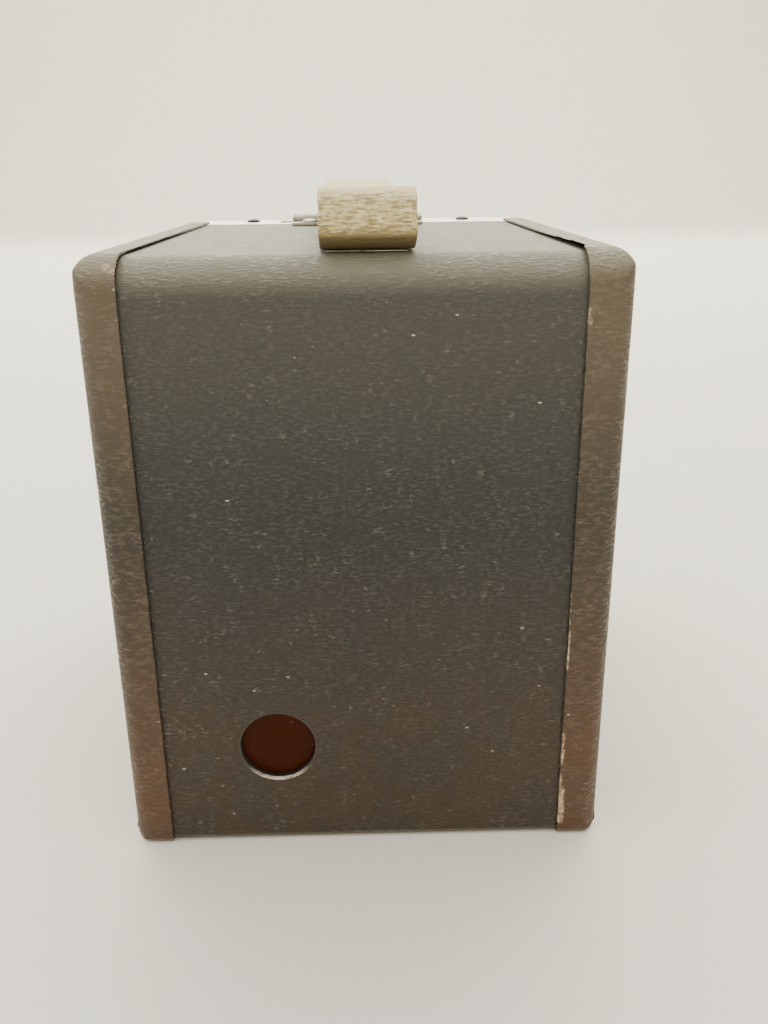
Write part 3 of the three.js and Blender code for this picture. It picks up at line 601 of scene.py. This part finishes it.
def grid_faces(rows, columns, close_rows=False, close_columns=False):
    """Quads over a grid of points laid out row by row."""
    faces = []
    for i in range(rows if close_rows else rows - 1):
        here, following = i * columns, (i + 1) % rows * columns
        for j in range(columns if close_columns else columns - 1):
            k = (j + 1) % columns
            faces.append((here + j, here + k, following + k, following + j))
    return faces


def outward(mesh, merge_mm=0.0):
    """Merges points that are close enough, and turns a solid's faces outwards."""
    work = bmesh.new()
    work.from_mesh(mesh)
    if merge_mm:
        bmesh.ops.remove_doubles(work, verts=work.verts, dist=merge_mm * MM)
    bmesh.ops.recalc_face_normals(work, faces=work.faces)
    work.to_mesh(mesh)
    work.free()


def bevelled(piece, width_mm, segments=3, angle=38):
    """Rounds the piece's edges that turn by more than the angle, for good."""
    bevel = piece.modifiers.new("edges", "BEVEL")
    bevel.width = width_mm * MM
    bevel.segments = segments
    bevel.limit_method = "ANGLE"
    bevel.angle_limit = math.radians(angle)
    settle(piece)
    smooth_by_angle(piece, 40)


def settle(piece):
    """Applies every modifier of the piece to its mesh."""
    graph = bpy.context.evaluated_depsgraph_get()
    made = bpy.data.meshes.new_from_object(piece.evaluated_get(graph))
    old = piece.data
    piece.modifiers.clear()
    piece.data = made
    bpy.data.meshes.remove(old)


def cuboid(name, low, high):
    """A box's mesh between two corners."""
    points = [(x, y, z) for x in (low[0], high[0]) for y in (low[1], high[1])
              for z in (low[2], high[2])]
    faces = [(0, 1, 3, 2), (4, 6, 7, 5), (0, 4, 5, 1), (2, 3, 7, 6), (0, 2, 6, 4), (1, 5, 7, 3)]
    mesh = mesh_from(name, points, faces)
    outward(mesh)
    return mesh


def combine(piece, tools, operation):
    """Joins other objects to the piece, or cuts them out of it, for good."""
    for tool in tools:
        step = piece.modifiers.new("step", "BOOLEAN")
        step.operation = operation
        step.solver = "EXACT"
        step.object = tool
    settle(piece)
    for tool in tools:
        mesh = tool.data
        bpy.data.objects.remove(tool)
        bpy.data.meshes.remove(mesh)


def boxes(name, parts, look, node, round_mm):
    """One solid made of boxes that are joined where they overlap, with rounded edges."""
    meshes = [cuboid(f"{name}_{i}", low, high) for i, (low, high) in enumerate(parts)]
    base = linked(name, meshes[0])
    combine(base, [linked(mesh.name, mesh) for mesh in meshes[1:]], "UNION")
    mesh = base.data
    bpy.data.objects.remove(base)
    piece = add_piece(name, mesh, look, node)
    bevelled(piece, round_mm)
    return piece


def drill(piece, tools):
    combine(piece, tools, "DIFFERENCE")


AXES = {
    "x": lambda u, v, w: (w, u, v),
    "y": lambda u, v, w: (v, w, u),
    "z": lambda u, v, w: (u, v, w),
}


def turned_mesh(name, profile, axis, centre, sides=96):
    """A profile of (radius, distance along the axis), turned about the axis through centre."""
    closed = profile[0] == profile[-1]
    points, faces, rings = [], [], []
    for radius, along in profile[:-1] if closed else profile:
        count = sides if radius > 0 else 1
        rings.append(range(len(points), len(points) + count))
        for i in range(count):
            angle = 2 * math.pi * i / sides
            points.append((radius * math.cos(angle), radius * math.sin(angle), along))
    if closed:
        rings.append(rings[0])
    for one, two in zip(rings, rings[1:]):
        for i in range(sides):
            j = (i + 1) % sides
            if len(one) == 1:
                faces.append((one[0], two[i], two[j]))
            elif len(two) == 1:
                faces.append((one[i], one[j], two[0]))
            else:
                faces.append((one[i], one[j], two[j], two[i]))
    turn = AXES[axis]
    placed = [tuple(c + d for c, d in zip(turn(*p), centre)) for p in points]
    mesh = mesh_from(name, placed, faces)
    outward(mesh)
    return mesh


def turned(name, profile, axis, centre, look, node, replace=True, sides=96):
    """A piece turned from its profile."""
    piece = add_piece(name, turned_mesh(name, profile, axis, centre, sides), look, node, replace)
    smooth_by_angle(piece, 30)
    return piece


def drill_bit(radius, reach, axis, centre, sides=96):
    """A cylinder to cut with, that reaches equally far to both sides of its centre."""
    profile = [(0, -reach), (radius, -reach), (radius, reach), (0, reach)]
    return linked("drill_bit", turned_mesh("drill_bit", profile, axis, centre, sides))


def arc(cx, cy, radius, start, end, steps):
    """Points on a circle from one angle to another, in degrees."""
    angles = [math.radians(start + (end - start) * i / steps) for i in range(steps + 1)]
    return [(cx + radius * math.cos(a), cy + radius * math.sin(a)) for a in angles]


def dome(radius, base, rise, steps):
    """A turned profile's rounded shoulder, without its first and its last point."""
    angles = [math.pi / 2 * i / steps for i in range(1, steps)]
    return [(radius * math.cos(a), base + rise * math.sin(a)) for a in angles]


def steps_between(a, b, pitch):
    """Numbers from a to b, both included, at about the pitch."""
    count = max(1, round(abs(b - a) / pitch))
    return [a + (b - a) * i / count for i in range(count + 1)]


# ---------- coverings


STRAIGHT_STEPS = 58
CORNER_STEPS = 12
# Openings in the leather, by the node that sits in the middle of each: their radii.
WINDOW_R = 6.65
KEY_HOLE_R = 4.1
FRONT_OPENINGS = {"top_finder_lens": 6.0, "side_finder_lens": 6.0, "shutter_bezel": 9.6}
RIVETS = ("catch_rivet_left", "catch_rivet_right")


def case_outline(top_radius):
    """The case's outline from the front of the base, round the rear, to the front of the top:
    each point as (y, z, outward y, outward z)."""
    points = []

    def straight(start, end, facing):
        for i in range(STRAIGHT_STEPS):
            place = [a + (b - a) * i / STRAIGHT_STEPS for a, b in zip(start, end)]
            points.append((*place, *facing))

    def corner(radius, height, start):
        for i in range(CORNER_STEPS):
            angle = math.radians(start - 90 * i / CORNER_STEPS)
            ny, nz = math.cos(angle), math.sin(angle)
            points.append((radius + radius * ny, height + radius * nz, ny, nz))

    straight((DEPTH, 0), (BOTTOM_R, 0), (0.0, -1.0))
    corner(BOTTOM_R, BOTTOM_R, 270)
    straight((0, BOTTOM_R), (0, HEIGHT - top_radius), (-1.0, 0.0))
    corner(top_radius, HEIGHT - top_radius, 180)
    straight((top_radius, HEIGHT), (DEPTH, HEIGHT), (0.0, 1.0))
    points.append((DEPTH, HEIGHT, 0.0, 1.0))
    return points


# How far the leather stays inside the solid that it stands for, and its thickness.
SKIN_GAP = 0.03
LEATHER = 0.45


def skin_point(y, z, ny, nz, depth):
    """An outline point moved in by a depth. Past the base's small corner both runs meet."""
    return max(y - ny * depth, depth), max(z - nz * depth, depth)


# How far a rounded case corner fills out from the swept towards the square shape.
CORNER_FILL = 0.65


def corner_point(y, z, ny, nz, inset):
    """An outline point moved in by the side's rounding, with fuller case corners."""
    swept = (max(y - ny * inset, inset), max(z - nz * inset, inset))
    square = (max(y, inset), min(max(z, inset), HEIGHT - inset))
    return [a + CORNER_FILL * (b - a) for a, b in zip(swept, square)]


def stays_flat(y, nz):
    """True along the base and the front edge, where a covering has no waves."""
    return nz < -0.5 or y > DEPTH - 0.5


def unevenness(x, y, z, amount):
    """Small, slow waves of a covering that was glued by hand, in millimetres."""
    slow = noise.noise(Vector((x / 17, y / 17, z / 17)))
    quick = noise.noise(Vector((x / 5.5 + 9, y / 5.5, z / 5.5)))
    return amount * (0.7 * slow + 0.3 * quick)


def smoothstep(value, low, high):
    """0 below low, 1 above high, and a smooth change between them."""
    t = min(max((value - low) / (high - low), 0.0), 1.0)
    return t * t * (3 - 2 * t)


def flange_lift(side, y, nz, x):
    """How far the side covering's edge stands off along the top, in millimetres."""
    if nz < 0.3:
        return 0.0
    edge = 1 - smoothstep(x, SEAM[side], SEAM[side] + 3.6)
    ripple = 1 + 0.3 * noise.noise(Vector((y / 6, 3.1 * side, 0.4)))
    if side > 0:
        along = smoothstep(y, 1.5, 9) * (1 - 0.8 * smoothstep(y, 16, 60))
        return 0.62 * edge * along * ripple
    along = smoothstep(y, 3, 14) * (1 - smoothstep(y, 40, 80))
    return 0.3 * edge * along * ripple


def frayed(side, y, z):
    """How far the cut edge of a side covering wanders across, in millimetres."""
    place = Vector((y / 3.7, z / 3.7, 2.0 * side))
    fine = Vector((y / 0.9, z / 0.9, 5.0 * side))
    return 0.16 * noise.noise(place) + 0.07 * noise.noise(fine)


def side_section(side):
    """Across a side covering from its cut edge: (x, depth below the outermost skin)."""
    start = SEAM[side]
    section = [(x, 0.0) for x in steps_between(start, HALF - SIDE_R, 0.6)]
    return section + arc(HALF - SIDE_R, SIDE_R, SIDE_R, -90, 0, 10)[1:]


def side_covering(node, side, look):
    """A side's leather, turned over the case's edges onto the middle strip."""
    outline = case_outline(SIDE_TOP_R)
    section = side_section(side)
    points = []
    for y, z, ny, nz in outline:
        for x, inset in section:
            wave = 0.0 if stays_flat(y, nz) else unevenness(side * x, y, z, 0.05)
            depth = SKIN_GAP - wave - flange_lift(side, y, nz, x)
            across = x + (0.05 + abs(frayed(side, y, z)) if x < SEAM[side] + 0.1 else 0.0)
            py, pz = corner_point(y, z, ny, nz, inset)
            points.append((side * across, py - ny * depth, pz - nz * depth))
    faces = grid_faces(len(outline), len(section))
    # The flat side is ruled from the bottom run to the top run; the rear run closes it.
    last = len(section) - 1
    rim = [i * len(section) + last for i in range(len(outline))]
    turn = STRAIGHT_STEPS + CORNER_STEPS
    strips = []
    for i in range(turn):
        low, high = rim[i], rim[-1 - i]
        a, b = points[low], points[high]
        strip = [low]
        for step in range(1, STRAIGHT_STEPS):
            t = step / STRAIGHT_STEPS
            y = a[1] + (b[1] - a[1]) * t
            z = a[2] + (b[2] - a[2]) * t
            fade = min(1.0, 6 * t, 6 * (1 - t))
            x = HALF - SKIN_GAP + fade * (unevenness(40 * side, y, z, 0.05) - 0.02)
            strip.append(len(points))
            points.append((side * x, y, z))
        strips.append(strip + [high])
    strips.append(rim[turn:turn + STRAIGHT_STEPS + 1])
    for one, two in zip(strips, strips[1:]):
        for step in range(STRAIGHT_STEPS):
            faces.append((one[step], one[step + 1], two[step + 1], two[step]))
    mesh = mesh_from(node + "_leather", points, faces)
    outward(mesh, 0.02)
    piece = add_piece(node + "_leather", mesh, look, node)
    thicken(piece)
    if node == "right_covering":
        drill(piece, [drill_bit(KEY_HOLE_R, 6, "x", middle_of("winding_key_bush"))])
    held_inside(piece, node)
    smooth_by_angle(piece, 50)


def held_inside(piece, node):
    """Moves the few points that stray outside the CAD node's own box back onto it."""
    low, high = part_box(node)
    for vertex in piece.data.vertices:
        vertex.co = Vector(min(max(value, a), b) for value, a, b in zip(vertex.co, low, high))


def thicken(piece):
    """Gives an open skin the leather's thickness, inwards, with softened cut edges."""
    face_away(piece.data)
    solid = piece.modifiers.new("thickness", "SOLIDIFY")
    solid.thickness = LEATHER * MM
    solid.offset = -1
    bevelled(piece, 0.14, 2, 60)


def face_away(mesh):
    """Turns an open skin's faces away from the middle of the case."""
    middle = at(0, DEPTH / 2, HEIGHT / 2)
    if sum((face.center - middle).dot(face.normal) * face.area for face in mesh.polygons) < 0:
        mesh.flip_normals()


def centre_covering():
    """The leather of the middle strip, over the base, the rear and the top."""
    low, high = span("centre_covering")
    outline = case_outline(MIDDLE_TOP_R)
    columns = steps_between(low.x + 0.02, high.x - 0.02, 1.5)
    points = []
    for y, z, ny, nz in outline:
        for x in columns:
            wave = 0.0 if stays_flat(y, nz) else unevenness(x, y, z, 0.06)
            depth = CENTRE_DEPTH + SKIN_GAP - min(wave, 0.05)
            points.append((x, *skin_point(y, z, ny, nz, depth)))
    mesh = mesh_from("centre_covering_leather", points, grid_faces(len(outline), len(columns)))
    outward(mesh, 0.02)
    piece = add_piece("centre_covering_leather", mesh, "leather_centre", "centre_covering")
    thicken(piece)
    window = middle_of("red_window")
    window.y = 0
    tools = [drill_bit(WINDOW_R, 6, "y", window)]
    for node in RIVETS:
        x, y, _ = middle_of(node)
        tools.append(drill_bit(1.2, 3, "z", (x, y, CASE_TOP), 24))
    drill(piece, tools)
    smooth_by_angle(piece, 50)
    rim = [
        (WINDOW_R - 0.06, 1.05), (WINDOW_R - 0.06, 0.80), (WINDOW_R, 0.64),
        (WINDOW_R + 0.10, 0.55), (WINDOW_R + 0.24, 0.53), (WINDOW_R + 0.38, 0.60),
        (WINDOW_R + 0.44, 0.74), (WINDOW_R + 0.44, 1.05), (WINDOW_R - 0.06, 1.05),
    ]
    turned("window_hole_edge", rim, "y", window, "edge", "centre_covering", False)


def front_covering():
    """The front board's leather, with rounded corners and its three openings."""
    low, high = span("front_covering")
    radius = 2.3
    left, right, base, top = low.x + radius, high.x - radius, low.z + radius, high.z - radius
    loop = []
    for cx, cz, start in ((right, base, -90), (right, top, 0), (left, top, 90), (left, base, 180)):
        loop += arc(cx, cz, radius, start, start + 90, 12)
    count = len(loop)
    points = [(x, y, z) for y in (low.y, high.y) for x, z in loop]
    faces = [tuple(range(count)), tuple(range(2 * count - 1, count - 1, -1))]
    faces += [(i, (i + 1) % count, count + (i + 1) % count, count + i) for i in range(count)]
    mesh = mesh_from("front_covering_leather", points, faces)
    outward(mesh)
    piece = add_piece("front_covering_leather", mesh, "leather_centre", "front_covering")
    tools = []
    for node, opening in FRONT_OPENINGS.items():
        x, _, z = middle_of(node)
        tools.append(drill_bit(opening, 9, "y", (x, low.y, z)))
    drill(piece, tools)
    bevelled(piece, 0.14, 2, 50)


# ---------- strap

STRAP_X = 1.7
STRAP_HALF = 7.7
STRAP_THICK = 1.6
STRAP_CURL = 3.85
STRAP_LOW = 105.35
STRAP_HIGH = STRAP_LOW + 2 * STRAP_CURL
STUD_Y = {"strap_stud_rear": 19, "strap_stud_front": 73}
# The strap lies a little askew: how far it drifts to the left for each unit forward of its
# rear stud.
STRAP_SKEW = 0.0235


def catmull(points, pitch):
    """A smooth line through the points, sampled at about the pitch."""
    ends = [points[0] * 2 - points[1]] + points + [points[-1] * 2 - points[-2]]
    line = []
    for a, b, c, d in zip(ends, ends[1:], ends[2:], ends[3:]):
        count = max(1, round((c - b).length / pitch))
        for i in range(count):
            t = i / count
            line.append(
                0.5 * (2 * b + (c - a) * t + (2 * a - 5 * b + 4 * c - d) * t * t
                       + (3 * b - a - 3 * c + d) * t ** 3)
            )
    line.append(points[-1])
    return line


def strap_line(pitch):
    """The strap's middle line in (y, z), from its rear end under itself to its front end."""
    rear, high = 9.6, STRAP_HIGH
    line = [Vector((y, STRAP_LOW)) for y in steps_between(24.5, rear, pitch)]
    curl = arc(rear, STRAP_LOW + STRAP_CURL, STRAP_CURL, 270, 90, round(math.pi * STRAP_CURL / pitch))
    line += [Vector(p) for p in curl[1:]]
    run = [
        (rear, high), (34, high - 0.7), (60, high - 1.15), (84, high - 1.1), (97, high + 0.2),
        (101.6, high - 0.3), (103, high - 2.2), (101.4, high - 4.1), (97, high - 4.6),
        (91, high - 4.9), (86.5, high - 5.6), (81.5, high - 6.9), (76, STRAP_LOW + 0.05),
        (68.5, STRAP_LOW),
    ]
    return line + catmull([Vector(p) for p in run], pitch)[1:]


def crease(x, along, bend):
    """Height of the strap's grain side, in millimetres: folds across it where it bends."""
    wander = 0.5 * noise.noise(Vector((x / 2.2, along / 2.0, 4.0)))
    fold = noise.noise(Vector((x / 1.7, (along + wander) / 0.46, 2.0)))
    fold += 0.35 * noise.noise(Vector((x / 0.9, (along + wander) / 0.3, 5.0)))
    ridge = smoothstep(fold, -0.15, 0.5) - 0.9 * smoothstep(-fold, 0.0, 0.45)
    lazy = 0.05 * noise.noise(Vector((x / 6, along / 9, 8.0)))
    return 0.13 * ridge * bend + lazy


def strap_section():
    """Round the strap's section: (across, side of the middle line) for each point."""
    width = steps_between(-STRAP_HALF, STRAP_HALF, 0.2)
    grain = [(x, 1.0) for x in width[1:-1]]
    edge = [(0.995, 0.62), (1.0, 0.0), (0.995, -0.62)]
    right = [(STRAP_HALF * reach, level) for reach, level in edge]
    flesh = [(x, -1.0) for x in reversed(width[1:-1:4])]
    left = [(-STRAP_HALF * reach, level) for reach, level in reversed(edge)]
    return grain + right + flesh + left, len(grain)


def make_strap():
    """The carrying strap: its section swept along its line, with folds where it bends."""
    line = strap_line(0.11)
    section, grain_columns = strap_section()
    half_thick = STRAP_THICK / 2
    rear = STUD_Y["strap_stud_rear"]
    top = span("strap")[1].z
    points = []
    along = 0.0
    for i, here in enumerate(line):
        before = line[max(i - 1, 0)]
        after = line[min(i + 1, len(line) - 1)]
        tangent = (after - before).normalized()
        normal = Vector((-tangent.y, tangent.x))
        along += (here - before).length
        bend = strap_bend(here)
        narrow = 0.3 * noise.noise(Vector((along / 3, 1.0, 1.0))) - 0.15
        for x, level in section:
            height = level * half_thick
            if level > 0:
                height += level * crease(x, along, bend)
                height -= 0.12 * level * smoothstep(abs(x), STRAP_HALF - 1.0, STRAP_HALF)
            spread = 1 + narrow / STRAP_HALF * (abs(x) / STRAP_HALF) ** 6
            y, z = here + normal * height
            across = STRAP_X + x * spread - STRAP_SKEW * (y - rear)
            points.append((across, y, min(max(z, CASE_TOP + 0.1), top)))
    count = len(section)
    faces = grid_faces(len(line), count, close_columns=True)
    faces.append(tuple(range(count)))
    faces.append(tuple(range((len(line) - 1) * count, len(line) * count))[::-1])
    mesh = mesh_from("strap_ribbon", points, faces)
    outward(mesh)
    ribbon = add_piece("strap_ribbon", mesh, "strap", "strap", extra=("strap_flesh",))
    for polygon in mesh.polygons[: (len(line) - 1) * count]:
        column = polygon.index % count
        polygon.material_index = 0 if column < grain_columns or column > count - 3 else 1
    smooth_by_angle(ribbon, 60)


def strap_bend(here):
    """1 where the rear curl stands upright, less at its top and where the strap runs flat."""
    top = STRAP_HIGH
    rear = smoothstep(13 - here.x, 0, 4) * smoothstep(here.y, STRAP_LOW + 1.2, STRAP_LOW + 2.6)
    rear *= 1 - 0.8 * smoothstep(here.y, top - 1.6, top - 0.3)
    front = 0.7 * smoothstep(here.x, 96, 101) * (1 - smoothstep(here.y, top - 1.2, top - 0.4))
    return 0.12 + 0.88 * max(rear, front)


def strap_studs():
    """Each end of the strap lies on a plate and is held by a riveted post."""
    plate_top = 104.5
    for node, y in STUD_Y.items():
        low, high = span(node)
        plate = ((low.x, low.y, CASE_TOP + 0.05), (high.x, high.y, plate_top))
        boxes(node + "_plate", [plate], "dull_nickel", node, 0.1)
        head = high.z - 0.65
        foot = plate_top - 0.1
        post = [(0, foot), (1.2, foot), (1.2, head), (2.3, head), (2.4, head + 0.12)]
        post += dome(2.4, head + 0.12, 0.5, 8) + [(0, head + 0.62)]
        turned(node + "_post", post, "z", (STRAP_X, y, 0), "nickel", node, False, 48)
        end = plate_top - 0.2
        shank = [(0, low.z), (1.3, low.z), (1.3, low.z + 0.15), (0.95, low.z + 0.18),
                 (0.95, end), (0, end)]
        turned(node + "_shank", shank, "z", (STRAP_X, y, 0), "nickel", node, False, 32)


# ---------- metal fittings

# The catch: heights of its sheet, the hinge pin's bore, and half the width of the middle knuckle.
CATCH_LOW, CATCH_HIGH = 104.4, 104.95
CATCH_BASE_TOP = 104.9
PIN_BORE = 0.8
KNUCKLE_HALF = 5
KNUCKLE_GAP = 0.3


def rivet(node):
    """A rivet with a domed head."""
    low, high = span(node)
    x, y, _ = middle_of(node)
    radius = (high.x - low.x) / 2
    head = high.z - 0.72
    profile = [(0, low.z), (0.9, low.z), (0.95, low.z + 0.1), (0.95, head), (radius - 0.1, head),
               (radius, head + 0.12)]
    profile += dome(radius, head + 0.12, high.z - head - 0.12, 8) + [(0, high.z)]
    turned(node + "_domed", profile, "z", (x, y, 0), "dull_nickel", node, sides=48)


def knuckle(name, start, end, pin, ease, node):
    """One barrel of the catch's hinge, round the pin from start to end across."""
    profile = [(0.65, start), (1.02, start), (1.1, start + ease), (1.1, end - ease), (1.02, end),
               (0.65, end), (0.65, start)]
    turned(name, profile, "x", pin, "dull_nickel", node, False, 40)


def catch_parts():
    """The plate that is riveted to the case, and the leaf that drops over the stud."""
    low, high = span("catch_base")
    pin = middle_of("catch_hinge_pin")
    pin.x = 0
    half = high.x
    gap = KNUCKLE_HALF + KNUCKLE_GAP
    parts = [((low.x, low.y, low.z), (half, 89.1, CATCH_BASE_TOP)),
             ((-KNUCKLE_HALF, 88.5, CATCH_LOW), (KNUCKLE_HALF, pin.y, CATCH_HIGH))]
    base = boxes("catch_base_plate", parts, "dull_nickel", "catch_base", 0.12)
    knuckle("catch_base_knuckle", -KNUCKLE_HALF, KNUCKLE_HALF, pin, 0.1, "catch_base")
    tools = []
    for node in RIVETS:
        x, y, _ = middle_of(node)
        tools.append(drill_bit(1.1, 3, "z", (x, y, CATCH_BASE_TOP), 32))
    tools.append(drill_bit(PIN_BORE, 9, "x", pin, 32))
    drill(base, tools)
    smooth_by_angle(base, 40)

    lip = span("catch_leaf")[1].y
    parts = [
        ((-half, 92, CATCH_LOW), (half, lip, CATCH_HIGH)),
        ((-half, lip - 0.5, CATCH_LOW), (half, lip, 105.8)),
        ((-half, pin.y, CATCH_LOW), (-gap, 93, CATCH_HIGH)),
        ((gap, pin.y, CATCH_LOW), (half, 93, CATCH_HIGH)),
    ]
    leaf = boxes("catch_leaf_plate", parts, "dull_nickel", "catch_leaf", 0.14)
    x, y, _ = middle_of("catch_stud")
    drill(leaf, [drill_bit(2.2, 3, "z", (x, y, 105), 48), drill_bit(PIN_BORE, 20, "x", pin, 32)])
    smooth_by_angle(leaf, 40)
    knuckle("catch_leaf_knuckle_left", -half, -gap, pin, 0.08, "catch_leaf")
    knuckle("catch_leaf_knuckle_right", gap, half, pin, 0.08, "catch_leaf")
    for node in RIVETS:
        rivet(node)


def slotted_screws():
    """Domed screw heads with a sawn slot, two on the top and two underneath."""
    for place in ("top_left", "top_right", "bottom_left", "bottom_right"):
        node = "frame_screw_" + place
        low, high = span(node)
        x, y, _ = middle_of(node)
        radius = (high.x - low.x) / 2
        up = place.startswith("top")
        outer, inner = (high.z, low.z) if up else (low.z, high.z)
        sign = 1 if up else -1
        base = outer - sign * 0.65
        profile = [(0, inner), (0.95, inner), (1.0, inner + sign * 0.1), (1.0, base),
                   (radius - 0.08, base), (radius, base + sign * 0.1)]
        profile += dome(radius, base + sign * 0.1, sign * 0.5, 7) + [(0, base + sign * 0.62)]
        piece = turned(node + "_head", profile, "z", (x, y, 0), "dark_steel", node, sides=48)
        deep, clear = sorted((outer + sign * 0.2, outer - sign * 0.32))
        slot = cuboid("slot", (x - 3, y - 0.24, deep), (x + 3, y + 0.24, clear))
        drill(piece, [linked("slot", slot)])
        smooth_by_angle(piece, 35)


def knob():
    """The winding knob: a knurled edge, a dished face and a raised middle."""
    low, high = span("winding_knob")
    _, cy, cz = middle_of("winding_shaft")
    inner, outer = low.x, high.x
    teeth, per_tooth = 60, 4
    sides = teeth * per_tooth
    rim = 47.0
    profile = [
        (2.3, inner, 0), (4.8, inner, 0), (5.0, inner + 0.2, 0), (5.0, rim - 0.4, 0),
        (5.4, rim, 0), (9.0, rim, 0), (9.6, rim + 0.12, 0.4), (10.0, rim + 0.6, 1),
        (10.0, outer - 0.6, 1), (9.6, outer - 0.12, 0.4), (9.1, outer, 0),
        (8.3, outer, 0), (8.0, outer - 0.1, 0), (7.8, outer - 0.45, 0),
        (4.6, outer - 0.5, 0), (4.2, outer - 0.35, 0), (4.0, outer, 0), (2.5, outer, 0),
        (2.3, outer - 0.15, 0),
    ]
    points = []
    for radius, along, knurl in profile:
        for i in range(sides):
            angle = 2 * math.pi * i / sides
            notch = 0.5 * knurl * (0.5 - 0.5 * math.cos(2 * math.pi * i / per_tooth))
            reach = radius - notch
            points.append((along, cy + reach * math.cos(angle), cz + reach * math.sin(angle)))
    faces = grid_faces(len(profile), sides, close_rows=True, close_columns=True)
    mesh = mesh_from("winding_knob_knurled", points, faces)
    outward(mesh)
    smooth_by_angle(add_piece("winding_knob_knurled", mesh, "nickel", "winding_knob"), 38)


def bezel():
    """The half-round ring that frames the taking opening."""
    low, high = span("shutter_bezel")
    x, _, z = middle_of("shutter_bezel")
    flat = low.y + 0.3
    profile = [(8.0, low.y)] + [
        (8.65 - 0.65 * math.cos(a), flat + (high.y - flat) * math.sin(a))
        for a in [math.pi * i / 12 for i in range(13)]
    ] + [(9.3, low.y), (8.0, low.y)]
    turned("shutter_bezel_ring", profile, "y", (x, 0, z), "nickel", "shutter_bezel")


def window_disc():
    """The red window, very slightly dished."""
    low, high = span("red_window")
    x, _, z = middle_of("red_window")
    radius = (high.x - low.x) / 2
    profile = [(0, low.y + 0.12), (4, low.y + 0.08), (radius - 0.6, low.y), (radius, low.y + 0.05),
               (radius, high.y), (0, high.y)]
    turned("red_window_disc", profile, "y", (x, 0, z), "celluloid", "red_window")


# The two slides run behind the front board: their sheet's faces, and the heights of the
# opening in the board's middle and of the smaller stop below it.
SLIDE_REAR, SLIDE_FRONT = 116.2, 116.8
STOPS = ((HEIGHT / 2, 4.0), (HEIGHT / 2 - 8, 2.3))


def slides():
    """The stop slide with its two openings, and the narrow time slide with its foot."""
    for node, x0, x1, n0, n1, bottom, shoulder in (
        ("stop_slide", -6, 6, -2.4, 2.4, 38.4, 94.8),
        ("time_slide", 9.5, 13.5, 9.5, 13.5, 60, 96),
    ):
        low, high = span(node)
        parts = [
            ((x0, SLIDE_REAR, bottom), (x1, SLIDE_FRONT, shoulder)),
            ((n0, SLIDE_REAR, shoulder - 1), (n1, SLIDE_FRONT, 107)),
            ((n0 - 1, SLIDE_REAR - 0.5, 104.5), (n1 + 1, SLIDE_FRONT + 0.5, high.z)),
        ]
        if node == "time_slide":
            parts.append(((x0, low.y, 60), (x1, 116.5, 61)))
        piece = boxes(node + "_strip", parts, "dark_steel", node, 0.16)
        if node == "stop_slide":
            drill(piece, [drill_bit(r, 3, "y", (0, 116.5, z), 64) for z, r in STOPS])
            smooth_by_angle(piece, 35)


# ---------- build


def make_floor():
    """A pale floor that sweeps up into a pale wall far behind the camera."""
    half, front, back, bend, top = 4.0, -2.5, 1.9, 0.5, 2.6
    line = [(front, 0.0)] + arc(back - bend, bend, bend, -90, 0, 16) + [(back, top)]
    mesh = bpy.data.meshes.new("floor")
    points = [(x, y, z) for y, z in line for x in (-half, half)]
    mesh.from_pydata(points, [], grid_faces(len(line), 2))
    mesh.materials.append(LOOKS["floor"])
    all_smooth(mesh)
    linked("floor", mesh)


make_camera()
make_lights()
make_floor()
dress_frame()
side_covering("left_covering", -1, "leather_left")
side_covering("right_covering", 1, "leather_right")
centre_covering()
front_covering()
make_strap()
strap_studs()
catch_parts()
slotted_screws()
knob()
bezel()
window_disc()
slides()
